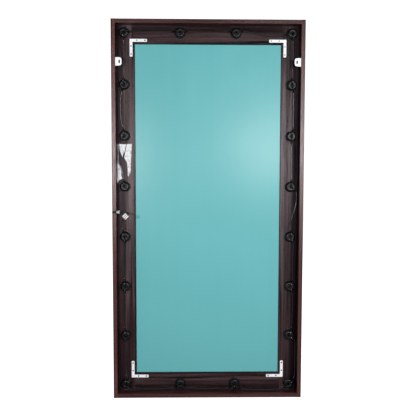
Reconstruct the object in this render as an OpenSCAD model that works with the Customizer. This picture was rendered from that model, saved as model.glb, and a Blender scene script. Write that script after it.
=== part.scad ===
// Lighted dressing mirror. A wooden box frame holds a mirror let in from behind,
// twenty lampholders stand round its edge, and a run of flex joins them.
// X runs across the mirror and Z runs up. The mirror faces -Y, and the open back
// of the box faces +Y. The origin is the middle of the foot, on the floor.
// Left and right are those of a person who looks into the mirror.

/* [Frame] */
// Width over the two side rails
frame_w = 857; // [760:1:1200]
// Height from the floor to the top
frame_h = 1702; // [1400:1:2000]
// Front of the face boards to the rear edges of the rails
frame_depth = 75; // [72:1:110]
// Thickness of the rails that make the box
rail_t = 18; // [15:0.5:22]
// Thickness of the face boards
board_t = 18; // [17:0.5:22]
// Width of the face boards, seen from the front
board_w = 103; // [90:1:130]
// Chamfer on the outer edges of rails and boards
edge_c = 1.5; // [0.5:0.1:2.5]
// Diameter of the dowels in the joints
dowel_d = 8; // [6:0.5:10]
// Length of the dowels
dowel_len = 34; // [24:1:44]

/* [Mirror] */
// Width of the rebate that the mirror lies in
rebate_w = 10; // [9:0.5:16]
// Thickness of the lip in front of the mirror
lip_t = 6; // [4:0.5:7]
// Thickness of the mirror glass
glass_t = 4; // [3:0.5:5]
// Thickness of the safety sheet bonded to its back
backing_t = 0.4; // [0.2:0.1:0.6]
// Gap between the mirror's edge and the rebate
glass_gap = 1; // [0.5:0.1:2]
// Width of the bead that holds the mirror in
bead_w = 7; // [6:0.5:9]
// Thickness of the bead
bead_t = 6; // [4:0.5:7]

/* [Lampholders] */
// How far their centres lie inwards from the middle of the boards
holder_inset = 1; // [-4:0.5:6]
// Diameter of the threaded skirt that passes through the board
skirt_d = 40; // [36:0.5:42]
// How far the skirt stands in front of the board
skirt_proud = 9; // [7:0.5:12]
// Diameter of the flange and cap behind the board
flange_d = 45.5; // [44.5:0.5:50]
// Thickness of the flange
flange_t = 5; // [4:0.5:6]
// Height of the cap behind the flange
cap_h = 23; // [20:0.5:25]
// Diameter of the flat end of the cap
cap_end_d = 28; // [24:0.5:32]
// Wall of the cap
cap_wall = 2.2; // [1.6:0.1:3]
// Diameter of the wire hole in the cap's end
entry_d = 12.4; // [12:0.1:14]
// Diameter of the shade ring's flange
ring_d = 58; // [50:0.5:64]
// Height of the shade ring
ring_h = 7; // [5:0.5:7]
// Thickness of the insulating disc behind the bulb
disc_t = 5; // [4:0.5:6]
// Inner diameter of the screw shell
shell_bore = 27.2; // [26.8:0.1:28]
// Wall of the screw shell
shell_wall = 0.5; // [0.3:0.1:0.8]

/* [Bulbs] */
// Diameter of the globe
globe_d = 60; // [45:1:68]
// Length of a bulb from its contact to the front of the globe
bulb_len = 92; // [84:1:120]
// Diameter of the bulb's metal cap
bulb_cap_d = 26.4; // [25.8:0.1:26.6]
// Length of the bulb's metal cap with its contact
bulb_cap_len = 25; // [23:0.5:26]
// Diameter of the collar above the cap
collar_d = 31; // [28:0.5:34]
// Wall of the globe
globe_wall = 1.2; // [0.8:0.1:2]
// Wall of the bulb's metal cap
bulb_cap_wall = 0.8; // [0.4:0.1:1.5]

/* [Fittings] */
// Length of each arm of a corner brace
brace_arm = 78; // [60:1:100]
// Width of a corner brace
brace_w = 13; // [12:0.5:20]
// Thickness of a corner brace
brace_t = 2; // [1.5:0.1:3]
// Distance from a brace's inner edge to the edge of the opening
brace_edge = 3; // [0:0.5:4]
// Distance of a brace arm's first screw from the corner
brace_first = 32; // [24:1:36]
// Distance of its second screw from the arm's end
brace_last = 10; // [7:0.5:14]
// Distance of the hanger plates below the top of the frame
hanger_drop = 185; // [100:1:600]
// Height of a hanger plate
hanger_h = 36; // [30:1:50]
// Reach of a hanger plate from the rail
hanger_reach = 29; // [26:1:40]
// Depth of the hanger plate's leg on the rail
hanger_leg = 24; // [20:1:28]
// Sheet thickness of a hanger plate
hanger_t = 2; // [1.5:0.1:3]
// Width of the slot for the wall hook
slot_w = 6.5; // [5:0.5:8]
// Length of the slot for the wall hook
slot_len = 15; // [12:0.5:18]

/* [Supply] */
// How far the cord entry lies above the middle between two lampholders
entry_rise = 1; // [-40:1:40]
// Outer diameter of the rubber bush in the rail
bush_d = 9; // [8:0.5:12]
// Bore of the bush
bush_bore = 6.4; // [4.5:0.1:6.5]
// Diameter of the lead to the terminal block
lead_d = 5.6; // [4:0.1:5.8]
// Diameter of the flex between the lampholders
wire_d = 4.6; // [3:0.1:4.8]
// Length of the cord grip
grip_len = 14; // [12:0.5:22]
// Diameter of the wide end of the cord grip
grip_d = 16; // [15:0.5:20]
// Number of poles in the terminal block
poles = 3; // [2:1:4]
// Distance between the poles
pole_pitch = 8; // [7:0.5:10]
// Length of the terminal block along its wires
block_len = 21; // [18:0.5:26]
// Height of the terminal block
block_h = 12; // [10:0.5:14]

/* [Hidden] */
$fn = 48;
cols = 4;
rows = 8;
bulb_count = 2 * (cols + rows) - 4;

// Running and seating clearances, and how far a cut runs past a face
fit = 0.05;
play = 0.3;
wire_lift = 0.6;
cut = 1;

// Levels from front to back
y_front = -frame_depth / 2;
y_rear = frame_depth / 2;
y_back = y_front + board_t;
y_glass = y_front + lip_t;
y_backing = y_glass + glass_t;
y_bead = y_backing + backing_t;

// Half widths of the frame, its box and its openings
half_w = frame_w / 2;
box_x = half_w - rail_t;
sight_x = half_w - board_w;
rebate_x = sight_x + rebate_w;
sight_z = board_w;
rebate_z = board_w - rebate_w;
glass_x = rebate_x - glass_gap;
glass_z = rebate_z + glass_gap;

// Places of the lampholders, clockwise from the top left corner
holder_in = board_w / 2 + holder_inset;
pitch_x = (frame_w - 2 * holder_in) / (cols - 1);
pitch_z = (frame_h - 2 * holder_in) / (rows - 1);
col_x = [for (i = [0:cols - 1]) -half_w + holder_in + i * pitch_x];
row_z = [for (i = [0:rows - 1]) frame_h - holder_in - i * pitch_z];
holders = concat(
    [for (i = [0:cols - 1]) [col_x[i], row_z[0]]],
    [for (i = [1:rows - 2]) [col_x[cols - 1], row_z[i]]],
    [for (i = [cols - 1:-1:0]) [col_x[i], row_z[rows - 1]]],
    [for (i = [rows - 2:-1:1]) [col_x[0], row_z[i]]]
);

// Lampholder levels, measured forwards from the middle of the box
h_front = -y_front;
h_back = -y_back;
h_mouth = h_front + skirt_proud;
h_flange = h_back - flange_t;
h_cap = h_flange - cap_h;
bulb_lip = 0.5;
h_rim = h_mouth + bulb_lip;
h_tip = h_rim - bulb_cap_len;
contact_h = 2;
h_disc = h_tip - contact_h;
h_disc_back = h_disc - disc_t;
hole_r = skirt_d / 2 + play;
shell_r = shell_bore / 2 + shell_wall;
disc_wall = 1.45;
disc_r = skirt_d / 2 - disc_wall;
cap_shoulder = 10.35;
shell_back = 3;
tongue_r = 4;
tongue_taper = 1.2;
post_r = 2;
post_x = 9;
post_end = 4;

// Bulb profile
globe_r = globe_d / 2;
globe_h = h_tip + bulb_len - globe_r;
neck_a = 52;
cap_r = bulb_cap_d / 2;
tip_r = 4.8;
tip_h = 1.2;
cone_h = 5;
cone_in = 3;
cap_bevel = 1;
cap_floor = 2;
collar_h = 5;
floor_t = 2;
stem_r = 4;

// Wood screws
screw_r = 1.9;
screw_head_r = 3.7;
screw_head_t = 1.8;
screw_len = 13;
screw_point = 3;
screw_tip_r = 0.2;
cross_w = 0.9;
cross_len = 4.2;
cross_t = 0.8;
hanger_z = frame_h - hanger_drop;
hanger_screw_z = 10;

// Supply entry, between this row of lampholders and the next
entry_row = 3;
cord_z = (row_z[entry_row] + row_z[entry_row + 1]) / 2 + entry_rise;
grip_clear = 1;
bush_y = y_rear - grip_d / 2 - grip_clear;
grip_small_d = 7.6;

// Lead from the cord grip round to the terminal block: how far it starts inside the
// grip, its bends counted inwards, forwards and upwards from the grip's mouth, and
// the straight ends at the block
lead_in = 6;
lead_bends = [[4, 0, 0], [11, 6, -1], [18, 18, -3], [25, 31, -4]];
straight_end = 8;

// Terminal block
block_in = 53.5;
block_drop = 23;
block_x = half_w - block_in;
block_z = cord_z - block_drop;
block_tilt = 45;
block_w = poles * pole_pitch;
barrel_gap = 1.6;
barrel_r = (pole_pitch - barrel_gap) / 2;
bridge_in = 3;
bridge_drop = 5;
sleeve_r = 2.4;
sleeve_bore = 1.6;
sleeve_y = 5.2;
well_r = 2.4;
grub_r = 1.45;
grub_lift = 0.4;
well_pitch = 9;
sleeve_in = 2;

// Flex route over a cap: bend radii, its start in the cap and the two wires' places
hop_r = 11;
hop_in = 6;
hop_out = 2;
drop_r = 10;
wire_r = wire_d / 2;
wire_seat = 3.5;
wire_sides = 8;
y_cap = -h_cap;
side_gap = 1;
side_r = flange_d / 2 + wire_r + side_gap;
over_r = side_r - wire_seat - hop_r;
foot_d = side_r + drop_r;
lay_h = y_back - y_cap + wire_r + wire_lift;

// Flex between two lampholders: how far it strays to one side, at places spread
// evenly from foot to foot, and the height of two of them above the board
route_01 = [8, 10, 6, -2, -11];
route_02 = [-8, -7, -7, -7.5, -8];
route_03 = [-7, -8, -8, -7, -6];
route_04 = [-3, -4, -4, -4.5, -4.5];
route_05 = [-14, -17, -18.5, -16, -7];
route_06 = [-23, -28.5, -28.5, -28.5, -18, -11, -8];
route_08 = [-4, -1.5, -2, -3.5, -6];
route_09 = [-4.5, -4.7, -4.7, -4.7, -4.8];
route_10 = [-4, -3.6, -3.7, -4, -4.5];
route_11 = [-20, -28, -29.3, -29, -22];
route_12 = [-20, -27, -28.5, -29, -24];
route_13 = [-25, -29.3, -29.3, -29.3, -24];
route_14 = [-25, -29.3, -29.3, -29.3, -26];
route_15 = [-13, -15.5, -16.6, -16, -14];
route_16 = [-15.6, -15.8, -16, -16, -16.3];
route_17 = [-6, -2, -9, -17, -25, -28.6, -27];
route_18 = [-6, -4, -3.3, -2.5, -2.5];
route_19 = [-10, -10, -11.5, -10.5, -9];
route_20 = [-2, -3, -5.8, -6, -5.3];
corner_lift = 16;

// Flex from the terminal block: the direction in which it leaves its lampholder and
// how far it strays from it
feed_aim = [5, 12];
feed_side = 17.5;

// Torn label on the right stile, outlines from its lower corner by the rail
label_t = 0.3;
label_rise = 10;
label_clear = 1;
label_z = row_z[entry_row] + label_rise;
label_left = [[0, 4], [2, 10], [8, 19], [22, 25], [20, 32], [16, 46], [18, 56], [16, 71],
    [12, 84], [6, 94], [5, 100], [5, 181], [1.5, 181], [1.5, 90]];
label_middle = [[10, 182], [11, 168], [12.5, 150], [23, 123], [26, 137], [33, 145], [40, 181]];
label_right = [[44, 182], [36, 144], [31.5, 122], [34.5, 113], [41.5, 103], [45, 89], [47, 67],
    [47, 40], [50, 34], [53, 46], [58.5, 51], [60.5, 84], [62, 118], [64.5, 153], [66, 183]];

function bulb_name(i) = str("bulb_", i < 9 ? "0" : "", i + 1);

// Frames of reference

// A drawing whose Z points out of the front of the mirror, at one lampholder
module at_holder(i) {
    translate([holders[i][0], 0, holders[i][1]])
        rotate([90, 0, 0])
            children();
}

module at_holders() {
    for (i = [0:bulb_count - 1])
        at_holder(i) children();
}

// A box from one corner to the opposite one
module box(a, b) {
    translate(a) cube(b - a);
}

// Wooden frame

// Cross section of a side rail at the right, in X and Y
module rail_section() {
    polygon([[box_x, y_back], [half_w, y_back], [half_w, y_rear - edge_c],
        [half_w - edge_c, y_rear], [box_x, y_rear]]);
}

// Cross section of a face board at the right, in X and Y, with its rebate
module board_section() {
    polygon([[sight_x + edge_c, y_front], [half_w - edge_c, y_front], [half_w, y_front + edge_c],
        [half_w, y_back], [rebate_x, y_back], [rebate_x, y_glass], [sight_x, y_glass],
        [sight_x, y_front + edge_c]]);
}

// Dowel places in one rail joint and in one board joint
rail_dowel_in = 15;
board_dowel_in = 28;
board_dowel_drop = 18;
rail_dowel_bite = 11.7;
board_dowel_bite = 8.5;
rail_dowel_y = [y_back + rail_dowel_in, y_rear - rail_dowel_in];
board_dowel_z = [board_dowel_in, rebate_z - board_dowel_drop];
board_dowel_y = y_front + (lip_t + board_t) / 2;

module dowel(x, y, z, extra = 0) {
    translate([x, y, z])
        rotate([0, 90, 0])
            cylinder(d = dowel_d + 2 * extra, h = dowel_len + 2 * extra, center = true);
}

// All dowels of the joints, or the holes for them
module dowels(extra = 0) {
    for (side = [-1, 1]) {
        for (z = [rail_t / 2, frame_h - rail_t / 2])
            for (y = rail_dowel_y)
                dowel(side * (box_x + rail_dowel_bite - dowel_len / 2), y, z, extra);
        for (z = concat(board_dowel_z, [for (z = board_dowel_z) frame_h - z]))
            dowel(side * (rebate_x + board_dowel_bite - dowel_len / 2), board_dowel_y, z, extra);
    }
}

module joint_dowels() {
    color("burlywood") dowels();
}

module side_rail(side) {
    color([0.3, 0.19, 0.17])
        difference() {
            mirror([side < 0 ? 1 : 0, 0, 0])
                linear_extrude(height = frame_h)
                    rail_section();
            dowels(fit);
            hanger_screw_set(fit);
            if (side > 0)
                bush_notch();
        }
}

module cross_rail(top) {
    color([0.3, 0.19, 0.17])
        difference() {
            translate([0, 0, top ? frame_h : 0])
                mirror([0, 0, top ? 1 : 0])
                    rotate([90, 0, 90])
                        linear_extrude(height = 2 * box_x, center = true)
                            polygon([[y_back, 0], [y_rear - edge_c, 0], [y_rear, edge_c],
                                [y_rear, rail_t], [y_back, rail_t]]);
            dowels(fit);
        }
}

module holder_holes() {
    at_holders()
        translate([0, 0, h_back - cut])
            cylinder(r = hole_r, h = board_t + 2 * cut, $fn = 64);
}

module face_stile(side) {
    color([0.24, 0.16, 0.15])
        difference() {
            mirror([side < 0 ? 1 : 0, 0, 0])
                linear_extrude(height = frame_h)
                    board_section();
            holder_holes();
            dowels(fit);
            brace_screw_set(fit);
        }
}

module face_rail(top) {
    color([0.24, 0.16, 0.15])
        difference() {
            translate([0, 0, top ? frame_h : 0])
                mirror([0, 0, top ? 1 : 0])
                    union() {
                        rotate([90, 0, 90])
                            linear_extrude(height = 2 * sight_x, center = true)
                                polygon([[y_front + edge_c, 0], [y_back, 0], [y_back, rebate_z],
                                    [y_glass, rebate_z], [y_glass, sight_z],
                                    [y_front + edge_c, sight_z], [y_front, sight_z - edge_c],
                                    [y_front, edge_c]]);
                        for (side = [-1, 1])
                            mirror([side < 0 ? 1 : 0, 0, 0])
                                box([sight_x - cut, y_glass, 0], [rebate_x, y_back, rebate_z]);
                    }
            holder_holes();
            dowels(fit);
            brace_screw_set(fit);
        }
}

// Mirror and its beads

module mirror_glass() {
    color([0.75, 0.82, 0.84])
        box([-glass_x, y_glass, glass_z], [glass_x, y_backing, frame_h - glass_z]);
}

module safety_backing() {
    color([0.44, 0.74, 0.76])
        box([-glass_x, y_backing, glass_z], [glass_x, y_bead, frame_h - glass_z]);
}

bead_c = 2;

// Cross section of a bead in X and Y, at the right
module bead_section() {
    polygon([[rebate_x - bead_w, y_bead], [rebate_x, y_bead], [rebate_x, y_bead + bead_t],
        [rebate_x - bead_w + bead_c, y_bead + bead_t],
        [rebate_x - bead_w, y_bead + bead_t - bead_c]]);
}

module side_bead(side) {
    color([0.16, 0.12, 0.12])
        mirror([side < 0 ? 1 : 0, 0, 0])
            translate([0, 0, rebate_z])
                linear_extrude(height = frame_h - 2 * rebate_z)
                    bead_section();
}

module cross_bead(top) {
    color([0.16, 0.12, 0.12])
        translate([0, 0, top ? frame_h : 0])
            mirror([0, 0, top ? 1 : 0])
                rotate([90, 0, 90])
                    linear_extrude(height = 2 * (rebate_x - bead_w), center = true)
                        polygon([[y_bead, rebate_z], [y_bead + bead_t, rebate_z],
                            [y_bead + bead_t, rebate_z + bead_w - bead_c],
                            [y_bead + bead_t - bead_c, rebate_z + bead_w],
                            [y_bead, rebate_z + bead_w]]);
}

// Corner braces

// Outer corner of the lower right brace, and the radius of an arm's end
brace_x = rebate_x + brace_edge + brace_w;
brace_z = rebate_z - brace_edge - brace_w;
brace_end_r = 3;

// A drawing of the lower right brace, repeated at the chosen corner
module at_corner(side, top) {
    translate([0, 0, top ? frame_h : 0])
        mirror([0, 0, top ? 1 : 0])
            mirror([side < 0 ? 1 : 0, 0, 0])
                translate([brace_x, 0, brace_z])
                    children();
}

// One arm that runs along +X, as a flat plate with a rounded end
module brace_plate() {
    cube([brace_arm - brace_end_r, brace_t, brace_w]);
    translate([0, 0, brace_end_r])
        cube([brace_arm, brace_t, brace_w - 2 * brace_end_r]);
    for (z = [brace_end_r, brace_w - brace_end_r])
        translate([brace_arm - brace_end_r, brace_t, z])
            rotate([90, 0, 0])
                cylinder(r = brace_end_r, h = brace_t);
}

// Screws of one brace, with the arms along -X and +Z
module brace_screws_at_corner(extra) {
    for (far = [brace_first, brace_arm - brace_last]) {
        translate([-far, y_back + brace_t, brace_w / 2])
            rotate([-90, 0, 0])
                wood_screw(extra);
        translate([-brace_w / 2, y_back + brace_t, far])
            rotate([-90, 0, 0])
                wood_screw(extra);
    }
}

module corner_brace(side, top) {
    color([0.93, 0.94, 0.95])
        at_corner(side, top)
            difference() {
                translate([0, y_back, 0])
                    union() {
                        mirror([1, 0, 0])
                            brace_plate();
                        rotate([0, -90, 0])
                            brace_plate();
                    }
                brace_screws_at_corner(fit);
            }
}

// A countersunk screw whose head lies at z = 0 and whose shank goes down
module wood_screw(extra = 0, len = screw_len) {
    difference() {
        rotate_extrude($fn = 32)
            polygon([[0, 0], [screw_head_r + extra, 0], [screw_r + extra, -screw_head_t],
                [screw_r + extra, -len + screw_point], [screw_tip_r, -len - extra],
                [0, -len - extra]]);
        if (extra == 0)
            for (a = [0, 90])
                rotate([0, 0, a])
                    translate([-cross_len / 2, -cross_w / 2, -cross_t])
                        cube([cross_len, cross_w, cross_t + cut]);
    }
}

module brace_screw_set(extra = 0) {
    for (side = [-1, 1])
        for (top = [false, true])
            at_corner(side, top)
                brace_screws_at_corner(extra);
}

module brace_screws() {
    color("silver") brace_screw_set();
}

// Hangers

hanger_corner_r = 11;
hanger_screw_in = 8;
slot_shift = 4;
hanger_screw_y = y_rear - hanger_leg + hanger_screw_in;
slot_x = box_x - hanger_reach / 2 - slot_shift;

module hanger_screw_set(extra = 0) {
    for (side = [-1, 1])
        for (z = [-hanger_screw_z, hanger_screw_z])
            mirror([side < 0 ? 1 : 0, 0, 0])
                translate([box_x - hanger_t, hanger_screw_y, hanger_z + z])
                    rotate([0, -90, 0])
                        wood_screw(extra);
}

module hanger_screws() {
    color("silver") hanger_screw_set();
}

// A plate behind the box with a slot, bent along the rail's inner face
module hanger_plate(side) {
    color([0.93, 0.94, 0.95])
        difference() {
            mirror([side < 0 ? 1 : 0, 0, 0])
                difference() {
                    translate([0, 0, hanger_z])
                        union() {
                            box([box_x - hanger_t, y_rear - hanger_leg, -hanger_h / 2],
                                [box_x, y_rear, hanger_h / 2]);
                            box([box_x - hanger_reach + hanger_corner_r, y_rear - hanger_t, -hanger_h / 2],
                                [box_x, y_rear, hanger_h / 2]);
                            box([box_x - hanger_reach, y_rear - hanger_t, -hanger_h / 2 + hanger_corner_r],
                                [box_x, y_rear, hanger_h / 2 - hanger_corner_r]);
                            for (z = [-1, 1])
                                translate([box_x - hanger_reach + hanger_corner_r, y_rear,
                                    z * (hanger_h / 2 - hanger_corner_r)])
                                    rotate([90, 0, 0])
                                        cylinder(r = hanger_corner_r, h = hanger_t);
                        }
                    hanger_slot();
                }
            hanger_screw_set(fit);
        }
}

module hanger_slot() {
    half = (slot_len - slot_w) / 2;
    translate([slot_x, y_rear + cut, hanger_z])
        rotate([90, 0, 0])
            union() {
                translate([-slot_w / 2, -half, 0])
                    cube([slot_w, 2 * half, hanger_t + 2 * cut]);
                for (z = [-half, half])
                    translate([0, z, 0])
                        cylinder(d = slot_w, h = hanger_t + 2 * cut);
            }
}

// Lampholders, drawn with Z towards the front

// Threaded skirt with a flange that bears on the back of the board
module holder_skirt() {
    difference() {
        union() {
            translate([0, 0, h_back])
                cylinder(d = skirt_d, h = h_mouth - h_back);
            translate([0, 0, h_flange])
                cylinder(d = flange_d, h = flange_t);
        }
        translate([0, 0, h_flange - cut])
            cylinder(r = shell_r + 2 * fit, h = h_mouth - h_flange + 2 * cut);
        translate([0, 0, h_flange - cut])
            cylinder(r = disc_r + play, h = h_disc - h_flange + cut);
    }
}

module holder_skirts() {
    color([0.1, 0.1, 0.11]) at_holders() holder_skirt();
}

// Domed cap over the terminals, with the wire hole in its end
module holder_cap() {
    steps = 6;
    r_out = flange_d / 2;
    r_end = cap_end_d / 2;
    round_h = cap_h - cap_shoulder;
    outer = [for (i = [0:steps]) let (a = 90 * i / steps)
        [r_end + (r_out - r_end) * cos(a), -cap_shoulder - round_h * sin(a)]];
    inner = [for (i = [steps:-1:0]) let (a = 90 * i / steps)
        [r_end - cap_wall + (r_out - r_end) * cos(a), -cap_shoulder - (round_h - cap_wall) * sin(a)]];
    translate([0, 0, h_flange])
        rotate_extrude($fn = 64)
            polygon(concat([[r_out, 0]], outer, [[entry_d / 2, -cap_h], [entry_d / 2, -cap_h + cap_wall]],
                inner, [[r_out - cap_wall, 0]]));
}

module holder_caps() {
    color([0.12, 0.12, 0.13]) at_holders() holder_cap();
}

// Ring that screws on the skirt and clamps the lampholder to the board
ring_edge = 1.6;
ring_c = 1.4;
ring_neck = 3;
ring_neck_c = 1;

module shade_ring() {
    bore_r = skirt_d / 2 + fit;
    rim_r = ring_d / 2;
    translate([0, 0, h_front])
        rotate_extrude($fn = 64)
            polygon([[bore_r, 0], [rim_r, 0], [rim_r, ring_edge], [rim_r - ring_c, ring_edge + ring_c],
                [bore_r + ring_neck + ring_neck_c, ring_h - ring_neck_c],
                [bore_r + ring_neck, ring_h], [bore_r, ring_h]]);
}

module shade_rings() {
    color([0.1, 0.1, 0.11]) at_holders() shade_ring();
}

// Insulating disc that carries the shell, the centre contact and two posts
module contact_disc() {
    difference() {
        translate([0, 0, h_disc_back])
            cylinder(r = disc_r, h = disc_t);
        for (x = [-post_x, post_x])
            translate([x, 0, h_disc_back - cut])
                cylinder(r = post_r + fit, h = disc_t + 2 * cut);
    }
}

module contact_discs() {
    color([0.9, 0.88, 0.84]) at_holders() contact_disc();
}

// Screw shell that stands on the disc
module screw_shell() {
    difference() {
        translate([0, 0, h_disc])
            cylinder(r = shell_r, h = h_mouth - shell_back - h_disc);
        translate([0, 0, h_disc - cut])
            cylinder(d = shell_bore, h = h_mouth - h_disc + 2 * cut);
    }
}

module screw_shells() {
    color([0.8, 0.68, 0.36]) at_holders() screw_shell();
}

// Centre contact on the disc, and the two wire posts through it
module contact_set() {
    translate([0, 0, h_disc])
        cylinder(r1 = tongue_r, r2 = tongue_r - tongue_taper, h = h_tip - play - h_disc);
    for (x = [-post_x, post_x])
        translate([x, 0, h_disc_back - post_end])
            cylinder(r = post_r, h = disc_t + post_end);
}

module contacts() {
    color([0.8, 0.68, 0.36]) at_holders() contact_set();
}

// Bulb: metal cap with its contact, then a hollow globe on a collar, open at its stem
module bulb(i) {
    steps = 14;
    start = 180 - neck_a;
    join = [globe_r * sin(start), globe_h + globe_r * cos(start)];
    neck = [for (t = [0:0.2:0.8]) let (u = t * t * (3 - 2 * t))
        [collar_d / 2 + (join[0] - collar_d / 2) * u, h_rim + collar_h + (join[1] - h_rim - collar_h) * t]];
    throat = [for (k = [len(neck) - 1:-1:0]) neck[k] - [globe_wall, 0]];
    ball = [for (k = [0:steps]) let (a = start * (1 - k / steps))
        [globe_r * sin(a), globe_h + globe_r * cos(a)]];
    hollow = [for (k = [steps:-1:0]) let (a = start * (1 - k / steps))
        [(globe_r - globe_wall) * sin(a), globe_h + (globe_r - globe_wall) * cos(a)]];
    at_holder(i) {
        color([0.78, 0.79, 0.8])
            rotate_extrude($fn = 48)
                polygon([[0, h_tip], [tip_r, h_tip], [tip_r, h_tip + tip_h],
                    [cap_r - cone_in, h_tip + cone_h], [cap_r, h_tip + cone_h + cap_bevel],
                    [cap_r, h_rim], [cap_r - bulb_cap_wall, h_rim],
                    [cap_r - bulb_cap_wall, h_tip + cone_h + cap_floor],
                    [tip_r, h_tip + tip_h + cap_floor], [0, h_tip + tip_h + cap_floor]]);
        color([0.97, 0.96, 0.93])
            rotate_extrude($fn = 64)
                polygon(concat([[stem_r, h_rim + fit], [collar_d / 2, h_rim + fit]], neck, ball,
                    hollow, throat,
                    [[collar_d / 2 - globe_wall, h_rim + floor_t], [stem_r, h_rim + floor_t]]));
    }
}

// Flex and lead

function unit(v) = v / norm(v);

// Path tangents, and the rings of a tube about the path
function tangent(p, i) = unit(p[min(i + 1, len(p) - 1)] - p[max(i - 1, 0)]);
function ring(c, t, ref, r) =
    let (u = unit(ref - (ref * t) * t), v = cross(t, u))
    [for (k = [0:wire_sides - 1]) let (a = 360 * k / wire_sides)
        c + r * (cos(a) * u + sin(a) * v)];

// Tube of a radius along a path; ref is a direction the path never takes
module tube(path, r, ref) {
    n = wire_sides;
    last = len(path) - 1;
    points = [for (i = [0:last]) each ring(path[i], tangent(path, i), ref, r)];
    walls = [for (i = [0:last - 1]) for (k = [0:n - 1])
        let (a = i * n + k, b = i * n + (k + 1) % n)
        each [[a, a + n, b], [b, a + n, b + n]]];
    ends = [[for (k = [0:n - 1]) k], [for (k = [n - 1:-1:0]) last * n + k]];
    polyhedron(points = points, faces = concat(walls, ends));
}

// Smooth curve through points, with two steps between each pair; the first and
// the last point only steer it
function between(a, b, c, d, t) = 0.5 * (2 * b + (c - a) * t
    + (2 * a - 5 * b + 4 * c - d) * t * t + (3 * b - a - 3 * c + d) * t * t * t);
function smooth(p) = concat(
    [for (k = [1:len(p) - 3]) for (t = [0, 0.5])
        between(p[k - 1], p[k], p[k + 1], p[k + 2], t)],
    [p[len(p) - 2]]);

// Route out of a cap's hole and over its shoulder to just before its foot, as
// distance from the lampholder's centre and height behind the cap's end
hop_steps = 3;
function hop(lift) = concat(
    [[wire_seat, -hop_in], [wire_seat, hop_out]],
    [for (i = [1:hop_steps]) let (a = 90 * i / hop_steps)
        [wire_seat + hop_r - hop_r * cos(a), hop_out + hop_r * sin(a)]],
    [for (i = [1:hop_steps]) let (a = 90 * i / hop_steps)
        [wire_seat + hop_r + over_r * sin(a), hop_out + hop_r - over_r + over_r * cos(a)]],
    [for (i = [0:hop_steps - 1]) let (a = 90 * i / hop_steps)
        [side_r + drop_r - drop_r * cos(a), lay_h + lift + drop_r - drop_r * sin(a)]]
);

// Direction of a hop whose foot lies this far to one side
function aim(side) = [sqrt(foot_d * foot_d - side * side), side] / foot_d;

function backwards(p) = [for (k = [len(p) - 1:-1:0]) p[k]];

// Flex between two lampholders, along a route
module link(i, j, route, lift = 0) {
    a = holders[i];
    b = holders[j];
    span = norm(b - a);
    dir = (b - a) / span;
    across = [dir[1], -dir[0]];
    last = len(route) - 1;
    lay = lay_h + lift;
    leave = aim(route[0]);
    arrive = aim(route[last]);
    free = span - 2 * foot_d;
    knots = [for (k = [1:last - 1]) [foot_d + free * k / last, route[k], lay]];
    guide = concat([[0, 0, lay], [foot_d * leave[0], route[0], lay]], knots,
        [[span - foot_d * arrive[0], route[last], lay], [span, 0, lay]]);
    out = [for (h = hop(lift)) [h[0] * leave[0], h[0] * leave[1], h[1]]];
    back = [for (h = backwards(hop(lift))) [span - h[0] * arrive[0], h[0] * arrive[1], h[1]]];
    path = [for (q = concat(out, smooth(guide), back))
        [a[0] + dir[0] * q[0] + across[0] * q[1], y_cap + q[2], a[1] + dir[1] * q[0] + across[1] * q[1]]];
    tube(path, wire_r, [across[0], 0, across[1]]);
}

module wiring_top() {
    color([0.05, 0.05, 0.05]) {
        link(0, 1, route_01);
        link(1, 2, route_02);
        link(2, 3, route_03);
    }
}

module wiring_right() {
    color([0.05, 0.05, 0.05]) {
        link(3, 4, route_04);
        link(4, 5, route_05);
        link(5, 6, route_06);
        link(7, 8, route_08);
        link(8, 9, route_09);
        link(9, 10, route_10);
        feed();
    }
}

module wiring_bottom() {
    color([0.05, 0.05, 0.05]) {
        link(10, 11, route_11);
        link(11, 12, route_12);
        link(12, 13, route_13, corner_lift);
    }
}

module wiring_left() {
    color([0.05, 0.05, 0.05]) {
        link(13, 14, route_14, corner_lift);
        link(14, 15, route_15);
        link(15, 16, route_16);
        link(16, 17, route_17);
        link(17, 18, route_18);
        link(18, 19, route_19);
        link(19, 0, route_20);
    }
}

// A point of the terminal block's own frame: along its wires, across its poles
function block_point(along, across, h) = [
    block_x + along * sin(block_tilt) + across * cos(block_tilt), y_back + h,
    block_z - along * cos(block_tilt) + across * sin(block_tilt)];

// Flex from the terminal block down to the nearest lampholder
module feed() {
    c = holders[7];
    start = block_len / 2 + play;
    leave = unit(feed_aim);
    foot = [c[0] + foot_d * leave[0], y_cap + lay_h, c[1] + foot_d * leave[1]];
    inlet = block_point(start, 0, sleeve_y);
    past = block_point(start + straight_end, 0, sleeve_y - 1);
    guide = [inlet, past, [c[0] + feed_side, foot[1] + 1, (foot[2] + past[2]) / 2], foot,
        [c[0], foot[1], c[1]]];
    hops = [for (h = backwards(hop(0)))
        [c[0] + h[0] * leave[0], y_cap + h[1], c[1] + h[0] * leave[1]]];
    tube(concat([inlet], smooth(guide), hops), wire_r, [1, 0, 0.3]);
}

// Lead from inside the cord grip round to the terminal block
module supply_lead() {
    start = block_len / 2 + play;
    inner = box_x - grip_len;
    from = [inner + lead_in, bush_y, cord_z];
    inlet = block_point(-start, 0, sleeve_y);
    bends = [for (b = lead_bends) [inner - b[0], bush_y - b[1], cord_z + b[2]]];
    guide = concat([from], bends, [block_point(-start - straight_end, 0, sleeve_y), inlet]);
    color([0.04, 0.04, 0.04])
        tube(concat([from], smooth(guide), [inlet]), lead_d / 2, [0, 0.2, 1]);
}

// Supply entry

// Round-bottomed notch in the right rail, open at its rear edge
module bush_notch() {
    translate([box_x - cut, bush_y, cord_z])
        rotate([0, 90, 0])
            cylinder(d = bush_d, h = rail_t + 2 * cut);
    box([box_x - cut, bush_y, cord_z - bush_d / 2],
        [half_w + cut, y_rear + cut, cord_z + bush_d / 2]);
}

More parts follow.
